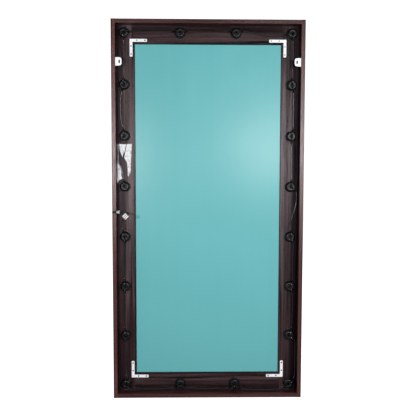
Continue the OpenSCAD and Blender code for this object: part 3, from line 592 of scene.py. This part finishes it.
def lathe(build, profile, place, steps=48, warp=None, closed=True, slot=0):
    rings = []
    for radius, height in profile:
        ring = []
        for k in range(steps):
            angle = 2 * pi * k / steps
            r, h = warp(radius, height, angle) if warp else (radius, height)
            ring.append(build.verts.new(place @ Vector((r * cos(angle), r * sin(angle), h))))
        rings.append(ring)
    faces = []
    for low, high in zip(rings, rings[1:] + rings[:1] if closed else rings[1:]):
        for k in range(steps):
            n = (k + 1) % steps
            faces.append(build.faces.new((low[k], low[n], high[n], high[k])))
    if not closed:
        faces.append(build.faces.new(rings[0]))
        faces.append(build.faces.new(rings[-1]))
    for face in faces:
        face.material_index = slot


def tube(build, path, radius, sides=10):
    points = [Vector(point) for point in path]
    ahead = (points[1] - points[0]).normalized()
    side = ahead.orthogonal().normalized()
    turns = [2 * pi * n / sides for n in range(sides)]
    rings = []
    for k, point in enumerate(points):
        forward = (points[min(k + 1, len(points) - 1)] - points[max(k - 1, 0)]).normalized()
        side = (side - side.dot(forward) * forward).normalized()
        other = forward.cross(side)
        rings.append([build.verts.new(point + radius * (cos(turn) * side + sin(turn) * other))
                      for turn in turns])
    for low, high in zip(rings, rings[1:]):
        for n in range(sides):
            build.faces.new((low[n], low[(n + 1) % sides], high[(n + 1) % sides], high[n]))
    build.faces.new(rings[0])
    build.faces.new(rings[-1])


def plate(build, outline, holes, thick, edge, place):
    # a flat plate with rounded edges, its middle plane at local z = 0
    curve = bpy.data.curves.new("plate", "CURVE")
    curve.dimensions = "2D"
    curve.fill_mode = "BOTH"
    curve.extrude = thick / 2 - edge
    curve.bevel_depth = edge
    curve.bevel_resolution = 2
    curve.offset = -edge
    for loop in [outline, *holes]:
        spline = curve.splines.new("POLY")
        spline.points.add(len(loop) - 1)
        for point, (x, y) in zip(spline.points, loop):
            point.co = (x, y, 0, 1)
        spline.use_cyclic_u = True
    stand = bpy.data.objects.new("plate", curve)
    mesh = bpy.data.meshes.new_from_object(stand)
    mesh.transform(place)
    build.from_mesh(mesh)
    bpy.data.objects.remove(stand)
    bpy.data.meshes.remove(mesh)


def arc(x, y, radius, start, end, steps=6):
    angles = [radians(start + (end - start) * k / steps) for k in range(steps + 1)]
    return [(x + radius * cos(angle), y + radius * sin(angle)) for angle in angles]


def circle(x, y, radius, steps=24):
    return arc(x, y, radius, 0, 360, steps)[:-1]


def ribbed(radius, angle, ribs, depth):
    return radius - depth * (0.5 + 0.5 * cos(ribs * angle))


def makeMesh(name, build, materials, sharp=38):
    mesh = bpy.data.meshes.new(name)
    bmesh.ops.recalc_face_normals(build, faces=build.faces)
    build.to_mesh(mesh)
    build.free()
    mesh.transform(Matrix.Scale(0.001, 4))
    mesh.shade_smooth()
    mesh.set_sharp_from_angle(angle=radians(sharp))
    for material in materials:
        mesh.materials.append(material)
    return mesh


def makePiece(name, build, slot, replaced, body="frame", finish=None, sharp=38):
    piece = addObject(name, makeMesh(name, build, [finishes[finish or slot]], sharp))
    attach(piece, body)
    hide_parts(*replaced)
    return piece


def makeHolderPart(name, profile, replaced, steps, warp):
    build = bmesh.new()
    for k in range(len(holders)):
        lathe(build, profile, atHolder(k), steps, warp)
    makePiece(name, build, "holder_black", replaced)


# dome and hollow: middle radius, width and height
capLook = {"steps": 96, "ribs": 24, "ribDepth": 0.55, "ribRadius": 21.5, "ribEnds": (5.2, 11.5),
           "equator": 4.15, "dome": (14, 8.75, 12.65), "hollow": (11.8, 8.75, 10.45)}


def capWarp(radius, height, angle):
    low, high = capLook["ribEnds"]
    if radius > capLook["ribRadius"] and low < height < high:
        radius = ribbed(radius, angle, capLook["ribs"], capLook["ribDepth"])
    return radius, height


def domePoints(part, angles):
    middle, wide, high = capLook[part]
    return [(middle + wide * cos(turn), capLook["equator"] - high * sin(turn))
            for turn in map(radians, angles)]


def makeCaps():
    outside = [(22.75, 14.5), (22.75, 13.2), (22.2, 12.9), (22.2, 12.2), (22.75, 11.9), (22.75, 11.3),
               (22.75, 8.3), (22.75, 5.4), (22.75, 4.4)]
    outside += domePoints("dome", (8, 20, 32, 44, 56, 68, 80, 87))
    # the end face with a groove round the wire hole
    face = [(13.4, -8.5), (11.6, -8.5), (10.9, -8.2), (10.5, -7.5), (8.9, -7.4), (8.5, -7.9), (8.2, -8.4),
            (7.8, -8.5), (6.8, -8.5), (6.35, -8.2), (6.2, -7.6), (6.2, -6.3)]
    inside = [(11.8, -6.3)] + domePoints("hollow", (80, 60, 40, 20, 0)) + [(20.55, 14.5)]
    makeHolderPart("lampholderCaps", outside + face + inside, ["holder_caps"], capLook["steps"], capWarp)


skirtLook = {"steps": 48, "pitch": 2.5, "threadDepth": 0.7, "threadRadius": 19, "threadEnds": (38, 45.8)}


def skirtWarp(radius, height, angle):
    low, high = skirtLook["threadEnds"]
    if radius > skirtLook["threadRadius"] and low < height < high:
        turn = (height / skirtLook["pitch"] - angle / (2 * pi)) % 1
        radius -= skirtLook["threadDepth"] * abs(2 * turn - 1)
    return radius, height


def makeSkirts():
    outside = [(22.75, 14.5), (22.75, 18.9), (22.3, 19.5), (20, 19.5), (20, 37.6)]
    outside += [(20, 38.1 + 0.45 * k) for k in range(17)] + [(19.6, 46.1), (19.1, 46.5)]
    inside = [(14.8, 46.5), (14.3, 46.1), (14.2, 20.2), (18.85, 20.2), (18.85, 14.5)]
    makeHolderPart("lampholderSkirts", outside + inside, ["holder_skirts"], skirtLook["steps"], skirtWarp)


ringLook = {"steps": 96, "notches": 32, "notchDepth": 0.5, "notchRadii": (22, 24.5),
            "notchEnds": (41.5, 44.2)}


def ringWarp(radius, height, angle):
    (inner, outer), (low, high) = ringLook["notchRadii"], ringLook["notchEnds"]
    if inner < radius < outer and low < height < high:
        radius = ribbed(radius, angle, ringLook["notches"], ringLook["notchDepth"])
    return radius, height


def makeRings():
    profile = [(20.2, 37.5), (28.5, 37.5), (29, 37.9), (29, 38.7), (28.7, 39.2), (27.4, 40.1), (25.6, 40.7),
               (24.4, 41.1), (24, 41.7), (23.9, 42.8), (23.7, 43.8), (23.2, 44.4), (21.2, 44.5),
               (20.4, 44.2)]
    makeHolderPart("shadeRings", profile, ["shade_rings"], ringLook["steps"], ringWarp)


makeCaps()
makeSkirts()
makeRings()
print("lampholders made")

# one bulb mesh, shared by all the holders
bulbSize = {"globe": 60, "length": 92, "tip": 22, "rim": 47, "cap": 26.2, "collar": 31, "neckAngle": 128,
            "threadPitch": 3.62, "threadDepth": 1.0, "threadRadius": 12.4, "threadEnds": (28.5, 44.6)}


def capThread(radius, height, angle):
    low, high = bulbSize["threadEnds"]
    if radius > bulbSize["threadRadius"] and low < height < high:
        turn = (height / bulbSize["threadPitch"] - angle / (2 * pi)) % 1
        radius = ribbed(radius, 2 * pi * turn, 1, bulbSize["threadDepth"])
    return radius, height


def makeBulbMesh():
    globe, tip, rim = bulbSize["globe"] / 2, bulbSize["tip"], bulbSize["rim"]
    middle = tip + bulbSize["length"] - globe
    capR, collar = bulbSize["cap"] / 2, bulbSize["collar"] / 2
    start = radians(bulbSize["neckAngle"])
    joinR, joinH = globe * sin(start), middle + globe * cos(start)
    glass = [(collar - 1.2, rim + 0.1), (collar - 0.3, rim + 0.3), (collar, rim + 1.0), (collar, rim + 3.6)]
    for k in range(1, 6):
        t = k / 6
        ease = t * t * (3 - 2 * t)
        glass.append((collar + (joinR - collar) * ease, rim + 4 + (joinH - rim - 4) * t))
    for k in range(21):
        angle = start * (1 - k / 20.6)  # the last ring stays just off the pole
        glass.append((globe * sin(angle), middle + globe * cos(angle)))
    shell = [(capR - 1.5, tip + 5.6), (capR - 0.6, tip + 6.0)]
    shell += [(capR, tip + 6.4 + 0.55 * k) for k in range(30)]
    shell += [(capR, rim - 1.6), (capR + 0.15, rim - 0.9), (capR + 0.1, rim - 0.1), (capR - 0.6, rim)]
    seat = [(4.9, tip + 1.6), (8.2, tip + 4.0), (capR - 1.6, tip + 5.5), (capR - 1.5, tip + 5.6)]
    contact = [(1.0, tip), (3.4, tip + 0.1), (4.6, tip + 0.7), (4.9, tip + 1.5)]
    build = bmesh.new()
    for profile, steps, warp, slot in ((glass, 64, None, 0), (shell, 48, capThread, 1), (seat, 48, None, 2),
                                       (contact, 32, None, 1)):
        lathe(build, profile, Matrix.Identity(4), steps, warp, False, slot)
    return makeMesh("bulb", build, [opalGlass, capNickel, capGlass])


def makeBulbs():
    mesh = makeBulbMesh()
    for k, (x, z) in enumerate(holders):
        label = f"{k + 1:02d}"
        piece = addObject("lamp_" + label, mesh)
        place = Matrix.Translation((x / 1000, 0, z / 1000))
        piece.matrix_world = place @ Matrix.Rotation(pi / 2, 4, "X")
        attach(piece, "bulb_" + label)
        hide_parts("bulb_" + label)


makeBulbs()
print("bulbs made")

flexSize = {"radius": 2.3, "seat": 3.5, "rise": 11, "drop": 10, "side": 26.05, "capEnd": 8.5, "lay": -25.1,
            "inside": 6, "outside": 2, "steps": 6, "cornerLift": 16}
footFar = flexSize["side"] + flexSize["drop"]  # where a flex comes down to the board
glossyRuns = ("wiring_right", "wiring_left")
# from holder, to holder, lifted over another flex or not, and how far the run strays
# to one side at places spread evenly from foot to foot
flexRoutes = {
    "wiring_top": [
        (0, 1, 0, [8, 10, 6, -2, -11]), (1, 2, 0, [-8, -7, -7, -7.5, -8]), (2, 3, 0, [-7, -8, -8, -7, -6])],
    "wiring_right": [
        (3, 4, 0, [-3, -4, -4, -4.5, -4.5]), (4, 5, 0, [-14, -17, -18.5, -16, -7]),
        (5, 6, 0, [-23, -28.5, -28.5, -28.5, -18, -11, -8]), (7, 8, 0, [-4, -1.5, -2, -3.5, -6]),
        (8, 9, 0, [-4.5, -4.7, -4.7, -4.7, -4.8]), (9, 10, 0, [-4, -3.6, -3.7, -4, -4.5])],
    "wiring_bottom": [
        (10, 11, 0, [-20, -28, -29.3, -29, -22]), (11, 12, 0, [-20, -27, -28.5, -29, -24]),
        (12, 13, 1, [-25, -29.3, -29.3, -29.3, -24])],
    "wiring_left": [
        (13, 14, 1, [-25, -29.3, -29.3, -29.3, -26]), (14, 15, 0, [-13, -15.5, -16.6, -16, -14]),
        (15, 16, 0, [-15.6, -15.8, -16, -16, -16.3]), (16, 17, 0, [-6, -2, -9, -17, -25, -28.6, -27]),
        (17, 18, 0, [-6, -4, -3.3, -2.5, -2.5]), (18, 19, 0, [-10, -10, -11.5, -10.5, -9]),
        (19, 0, 0, [-2, -3, -5.8, -6, -5.3])],
}


def smoothPath(points, steps=6):
    # curve through the points; the first and the last only steer it
    path = []
    for a, b, c, d in zip(points, points[1:], points[2:], points[3:]):
        a, b, c, d = (Vector(point) for point in (a, b, c, d))
        for k in range(steps):
            t = k / steps
            path.append(0.5 * (2 * b + (c - a) * t + (2 * a - 5 * b + 4 * c - d) * t * t
                               + (3 * b - a - 3 * c + d) * t * t * t))
    return path + [Vector(points[-2])]


def hop(lift=0):
    # out of a cap's hole and over its shoulder: distance from the centre, height over the cap's end
    seat, rise, drop, side = pick(flexSize, "seat", "rise", "drop", "side")
    over = side - seat - rise
    out = flexSize["outside"]
    turns = [pi / 2 * k / flexSize["steps"] for k in range(flexSize["steps"] + 1)]
    path = [(seat, -flexSize["inside"]), (seat, out)]
    path += [(seat + rise - rise * cos(a), out + rise * sin(a)) for a in turns[1:]]
    path += [(seat + rise + over * sin(a), out + rise - over + over * cos(a)) for a in turns[1:]]
    path += [(footFar - drop * cos(a), flexSize["lay"] + lift + drop - drop * sin(a)) for a in turns[:-1]]
    return path


def linkPath(first, second, lift, route):
    start, end = Vector(holders[first]), Vector(holders[second])
    span = (end - start).length
    along = (end - start) / span
    across = Vector((along[1], -along[0]))
    lay = flexSize["lay"] + lift
    leave, arrive = ((sqrt(footFar ** 2 - side ** 2) / footFar, side / footFar)
                     for side in (route[0], route[-1]))
    last = len(route) - 1
    guide = [(0, 0, lay), (footFar * leave[0], route[0], lay)]
    guide += [(footFar + (span - 2 * footFar) * k / last, route[k], lay) for k in range(1, last)]
    guide += [(span - footFar * arrive[0], route[-1], lay), (span, 0, lay)]
    out = [(r * leave[0], r * leave[1], h) for r, h in hop(lift)]
    back = [(span - r * arrive[0], r * arrive[1], h) for r, h in reversed(hop(lift))]
    return [(start[0] + along[0] * a + across[0] * b, flexSize["capEnd"] + h,
             start[1] + along[1] * a + across[1] * b) for a, b, h in out + smoothPath(guide) + back]


blockPlace = {"x": 375, "z": 829, "length": 21, "holeHeight": 5.2, "gap": 0.3, "tilt": 45}
blockEnd = blockPlace["length"] / 2 + blockPlace["gap"]


def blockPoint(along, across, height):
    turn = radians(blockPlace["tilt"])
    return (blockPlace["x"] + along * sin(turn) + across * cos(turn), boardBack + height,
            blockPlace["z"] - along * cos(turn) + across * sin(turn))


# the flex from the block to the holder below it
feedLook = {"holder": 7, "foot": (13.8, 33.2), "inside": 2, "past": 8, "sag": 1, "wayX": 17.5}


def feedPath():
    x, z = holders[feedLook["holder"]]
    lean = [part / footFar for part in feedLook["foot"]]
    lay = flexSize["capEnd"] + flexSize["lay"]
    foot = (x + footFar * lean[0], lay, z + footFar * lean[1])
    inlet = blockPoint(blockEnd - feedLook["inside"], 0, blockPlace["holeHeight"])
    past = blockPoint(blockEnd + feedLook["past"], 0, blockPlace["holeHeight"] - feedLook["sag"])
    way = (x + feedLook["wayX"], lay + 1, (foot[2] + past[2]) / 2)
    path = [Vector(inlet)] + smoothPath([inlet, past, way, foot, (x, lay, z)])
    return path + [(x + r * lean[0], flexSize["capEnd"] + h, z + r * lean[1]) for r, h in reversed(hop())]


def makeFlexes():
    for name, links in flexRoutes.items():
        build = bmesh.new()
        for first, second, lifted, route in links:
            tube(build, linkPath(first, second, lifted * flexSize["cornerLift"], route), flexSize["radius"])
        if name == "wiring_right":
            tube(build, feedPath(), flexSize["radius"])
        finish = "flex" if name in glossyRuns else "dustyFlex"
        makePiece(name.replace("wiring_", "flex_"), build, "flex", [name], finish=finish)


cordEntry = {"y": 28.5, "z": 852}
gripLook = {"length": 14, "small": 3.8, "wide": 8, "bore": 2.85, "rings": 5, "groove": 0.4}
# bends: in from the grip's end, towards the board, down
leadLook = {"radius": 2.8, "sides": 14, "inGrip": 6, "past": 8,
            "bends": [(4, 0, 0), (11, 6, 1), (18, 18, 3), (25, 31, 4)]}


def makeLead():
    y, z, gripEnd = cordEntry["y"], cordEntry["z"], innerX - gripLook["length"]
    first = (gripEnd + leadLook["inGrip"], y, z)
    inlet = blockPoint(-blockEnd, 0, blockPlace["holeHeight"])
    past = blockPoint(-blockEnd - leadLook["past"], 0, blockPlace["holeHeight"])
    guide = [first] + [(gripEnd - a, y - b, z - c) for a, b, c in leadLook["bends"]] + [past, inlet]
    build = bmesh.new()
    tube(build, [first] + smoothPath(guide) + [inlet], leadLook["radius"], leadLook["sides"])
    makePiece("supplyLead", build, "flex", ["supply_lead"])


makeFlexes()
makeLead()
print("flexes laid")


def makeGrip():
    length, small, wide, bore = pick(gripLook, "length", "small", "wide", "bore")
    outside = [(small, 0)]
    for k in range(gripLook["rings"]):
        for part, cut in ((0.15, 0), (0.55, 0), (0.65, 1), (0.95, 1)):
            t = (k + part) / gripLook["rings"]
            outside.append((small + (wide - small) * t - cut * gripLook["groove"], length * t))
    outside += [(wide, length - 0.8), (wide - 0.5, length - 0.1), (wide - 1.2, length)]
    inside = [(bore + 1.2, length), (bore, length - 1), (bore, 0)]
    inwards = Matrix.Rotation(-pi / 2, 4, "Y")
    build = bmesh.new()
    lathe(build, outside + inside, Matrix.Translation((innerX, cordEntry["y"], cordEntry["z"])) @ inwards)
    makePiece("cordGrip", build, "pale_plastic", ["cord_grip"], sharp=50)


blockLook = {"poles": 3, "pitch": 8, "barrel": 6.4, "height": 10.6, "hole": 2.45, "edge": 0.5,
             "collar": 3.05, "well": 2.4, "collarTop": 12, "screwX": 4.5,
             "webHalf": (7.2, 11.6), "webThick": 6.4, "webMiddle": 3.6, "webEdge": 0.4, "webHole": 1.4}


def makeBlock():
    turn = radians(blockPlace["tilt"])
    frameOfBlock = byRows((sin(turn), cos(turn), 0, blockPlace["x"]), (0, 0, 1, boardBack),
                          (-cos(turn), sin(turn), 0, blockPlace["z"]))
    half, height, pitch = blockLook["barrel"] / 2, blockLook["height"], blockLook["pitch"]
    collar, well, top = pick(blockLook, "collar", "well", "collarTop")
    barrel = [(-half, 0.2), (half, 0.2)] + arc(0, height - half, half, 0, 180, 12)
    hole = circle(0, blockPlace["holeHeight"], blockLook["hole"])
    ring = [(collar, height - 1.5), (collar, top - 0.3), (collar - 0.3, top), (well + 0.2, top),
            (well, top - 0.3), (well, height - 1.5)]
    lengthwise = byRows((0, 0, 1, 0), (1, 0, 0, 0), (0, 1, 0, 0))
    build = bmesh.new()
    for k in range(blockLook["poles"]):
        place = frameOfBlock @ Matrix.Translation((0, (k - (blockLook["poles"] - 1) / 2) * pitch, 0))
        plate(build, barrel, [hole], blockPlace["length"], blockLook["edge"], place @ lengthwise)
        for x in (-blockLook["screwX"], blockLook["screwX"]):
            lathe(build, ring, place @ Matrix.Translation((x, 0, 0)), 24)
    x, y = blockLook["webHalf"]
    web = [(-x, -y), (x, -y), (x, y), (-x, y)]
    webHoles = [circle(0, side * pitch / 2, blockLook["webHole"], 16) for side in (-1, 1)]
    plate(build, web, webHoles, blockLook["webThick"], blockLook["webEdge"],
          frameOfBlock @ Matrix.Translation((0, 0, blockLook["webMiddle"])))
    makePiece("terminalBlock", build, "white_plastic", ["terminal_block"])


makeGrip()
makeBlock()
print("supply entry made")

braceLook = {"arm": 78, "width": 13, "thick": 2, "end": 3, "corner": 1.5, "fillet": 2, "edge": 0.4,
             "holes": (32, 68), "holeRadius": 3.6, "x": 351.5, "z": 77}
hangerLook = {"z": 1517, "height": 36, "reach": 29, "leg": 24, "thick": 2, "corner": 11, "clipped": 2,
              "edge": 0.45, "slotX": 392, "slot": (6.5, 15), "screwY": 21.5, "screwZ": 10,
              "holeRadius": 3.6}
screwLook = {"head": 3.7, "dome": 0.25, "shank": 1.9, "sunk": 1.9, "length": 12.5, "point": 3,
             "slotHalf": 0.55, "slotReach": 2.3, "slotDepth": 1.0}


def screwWarp(radius, height, angle):
    # a cross slot in the head
    across = min(abs(radius * cos(angle)), abs(radius * sin(angle)))
    if height > -0.2 and radius < screwLook["slotReach"] and across < screwLook["slotHalf"]:
        height -= screwLook["slotDepth"] * (1 - 0.35 * radius / screwLook["slotReach"])
    return radius, height


def addScrew(build, place):
    head, dome, shank = pick(screwLook, "head", "dome", "shank")
    sunk, length, point = pick(screwLook, "sunk", "length", "point")
    top = [(r, dome - dome * (r / head) ** 2) for r in (0.15, 0.4, 0.56, 0.8, 1.2, 1.7, 2.1, 2.4, 2.9, 3.3)]
    side = [(head, 0), (head - 0.1, -0.3), (shank, -sunk), (shank, point - length), (0.2, -length)]
    lathe(build, top + side, place, 32, screwWarp, False)


def corners():
    # the drawing of the lower right corner, mirrored to each corner in turn
    x, z = braceLook["x"], braceLook["z"]
    for right, side in ((1, "right"), (-1, "left")):
        for up, level, height in ((1, "bottom", z), (-1, "top", mirrorSize["height"] - z)):
            yield byRows((right, 0, 0, right * x), (0, 1, 0, boardBack), (0, 0, up, height)), level, side


def makeBraces():
    arm, width, thick, end = pick(braceLook, "arm", "width", "thick", "end")
    corner, fillet = pick(braceLook, "corner", "fillet")
    outline = arc(-corner, corner, corner, 270, 360, 3)
    outline += arc(-end, arm - end, end, 0, 90) + arc(-width + end, arm - end, end, 90, 180)
    outline += arc(-width - fillet, width + fillet, fillet, 0, -90, 3)
    outline += arc(-arm + end, width - end, end, 90, 180) + arc(-arm + end, end, end, 180, 270)
    spots = [(-width / 2, far) for far in braceLook["holes"]]
    spots += [(-far, width / 2) for far in braceLook["holes"]]
    holes = [circle(x, z, braceLook["holeRadius"]) for x, z in spots]
    upright = byRows((1, 0, 0, 0), (0, 0, 1, thick / 2), (0, 1, 0, 0))
    toRear = Matrix.Rotation(-pi / 2, 4, "X")
    screws = bmesh.new()
    for place, level, side in corners():
        build = bmesh.new()
        plate(build, outline, holes, thick, braceLook["edge"], place @ upright)
        makePiece(f"brace_{level}_{side}", build, "white_metal", [f"corner_brace_{level}_{side}"])
        for x, z in spots:
            addScrew(screws, place @ Matrix.Translation((x, thick, z)) @ toRear)
    makePiece("braceScrews", screws, "screw", ["brace_screws"])


def makeHangers():
    reach, corner, edge, thick, z = pick(hangerLook, "reach", "corner", "edge", "thick", "z")
    clipped, screwY, screwZ = pick(hangerLook, "clipped", "screwY", "screwZ")
    half, legEnd = hangerLook["height"] / 2, rear - hangerLook["leg"]
    outline = [(0, -half), (0, half)] + arc(corner - reach, half - corner, corner, 90, 180, 8)
    outline += arc(corner - reach, corner - half, corner, 180, 270, 8)
    slotWide, slotLong = hangerLook["slot"]
    slotX, straight, slotEnd = hangerLook["slotX"] - innerX, (slotLong - slotWide) / 2, slotWide / 2
    slot = arc(slotX, straight, slotEnd, 0, 180, 8) + arc(slotX, -straight, slotEnd, 180, 360, 8)
    leg = [(legEnd, -half + clipped), (legEnd + clipped, -half), (rear, -half), (rear, half),
           (legEnd + clipped, half), (legEnd, half - clipped)]
    legHoles = [circle(screwY, level * screwZ, hangerLook["holeRadius"]) for level in (-1, 1)]
    screws = bmesh.new()
    for right, side in ((1, "right"), (-1, "left")):
        build = bmesh.new()
        flat = byRows((right, 0, 0, right * innerX), (0, 0, 1, rear - thick / 2), (0, 1, 0, z))
        plate(build, outline, [slot], thick, edge, flat)
        upright = byRows((0, 0, 1, right * (innerX - thick / 2)), (1, 0, 0, 0), (0, 1, 0, z))
        plate(build, leg, legHoles, thick, edge, upright)
        makePiece("hanger_" + side, build, "white_metal", ["hanger_plate_" + side])
        for level in (-1, 1):
            place = Matrix.Translation((right * (innerX - thick), screwY, z + level * screwZ))
            addScrew(screws, place @ Matrix.Rotation(-right * pi / 2, 4, "Y"))
    makePiece("hangerScrews", screws, "screw", ["hanger_screws"])


makeBraces()
makeHangers()
print("fittings made")

labelLook = {"z": 975.1, "size": (68, 184), "gap": 0.15, "thick": 0.15, "grid": 9, "step": 2, "ragged": 0.7,
             "tearScale": 0.5, "tearSeeds": (3, 23), "railSide": 1, "cutTop": 180, "lift": 1.6,
             "liftScale": (0.045, 0.03), "liftSeed": 1.7, "stuck": 12}
# the scraps, across from the rail and up
labelShapes = [
    [(0, 4), (2, 10), (8, 19), (22, 25), (20, 32), (16, 46), (18, 56), (16, 71), (12, 84), (6, 94),
     (5, 100), (5, 181), (1.5, 181), (1.5, 90)],
    [(10, 182), (11, 168), (12.5, 150), (23, 123), (26, 137), (33, 145), (40, 181)],
    [(44, 182), (36, 144), (31.5, 122), (34.5, 113), (41.5, 103), (45, 89), (47, 67), (47, 40), (50, 34),
     (53, 46), (58.5, 51), (60.5, 84), (62, 118), (64.5, 153), (66, 183)],
]


def raggedEdge(shape):
    # close points, pushed about a little except along the rail and the cut top
    out = []
    scale, seeds, ragged = pick(labelLook, "tearScale", "tearSeeds", "ragged")
    for (x0, z0), (x1, z1) in zip(shape, shape[1:] + shape[:1]):
        count = max(1, round(hypot(x1 - x0, z1 - z0) / labelLook["step"]))
        for k in range(count):
            x, z = x0 + (x1 - x0) * k / count, z0 + (z1 - z0) * k / count
            if x > labelLook["railSide"] and z < labelLook["cutTop"]:
                sideways, upward = (noise.noise(Vector((x * scale, z * scale, seed))) for seed in seeds)
                x, z = x + sideways * ragged, z + upward * ragged
            out.append((x, z))
    return out


def makeLabel():
    bottom, grid = labelLook["z"], labelLook["grid"]
    wide, high = labelLook["size"]
    build = bmesh.new()
    for shape in labelShapes:
        build.faces.new([build.verts.new((innerX - x, boardBack + labelLook["gap"], bottom + z))
                         for x, z in raggedEdge(shape)])
    bmesh.ops.triangulate(build, faces=build.faces)
    for axis, low, end in ((0, innerX - wide, innerX), (2, bottom, bottom + high)):
        place = low + grid
        while place < end:
            point, normal = Vector((0, 0, 0)), Vector((0, 0, 0))
            point[axis], normal[axis] = place, 1
            everything = build.verts[:] + build.edges[:] + build.faces[:]
            bmesh.ops.bisect_plane(build, geom=everything, plane_co=point, plane_no=normal)
            place += grid
    # the paper curls off the board, least beside the rail
    scaleX, scaleZ = labelLook["liftScale"]
    for vert in build.verts:
        curl = noise.noise(Vector((vert.co[0] * scaleX, vert.co[2] * scaleZ, labelLook["liftSeed"])))
        free = min(1, abs(innerX - vert.co[0]) / labelLook["stuck"])
        vert.co[1] += labelLook["lift"] * max(0, curl) * free
    piece = makePiece("tornLabel", build, "paper", ["torn_label"], sharp=60)
    skin = piece.modifiers.new("thickness", "SOLIDIFY")
    skin.thickness = labelLook["thick"] / 1000


makeLabel()
print("label made")
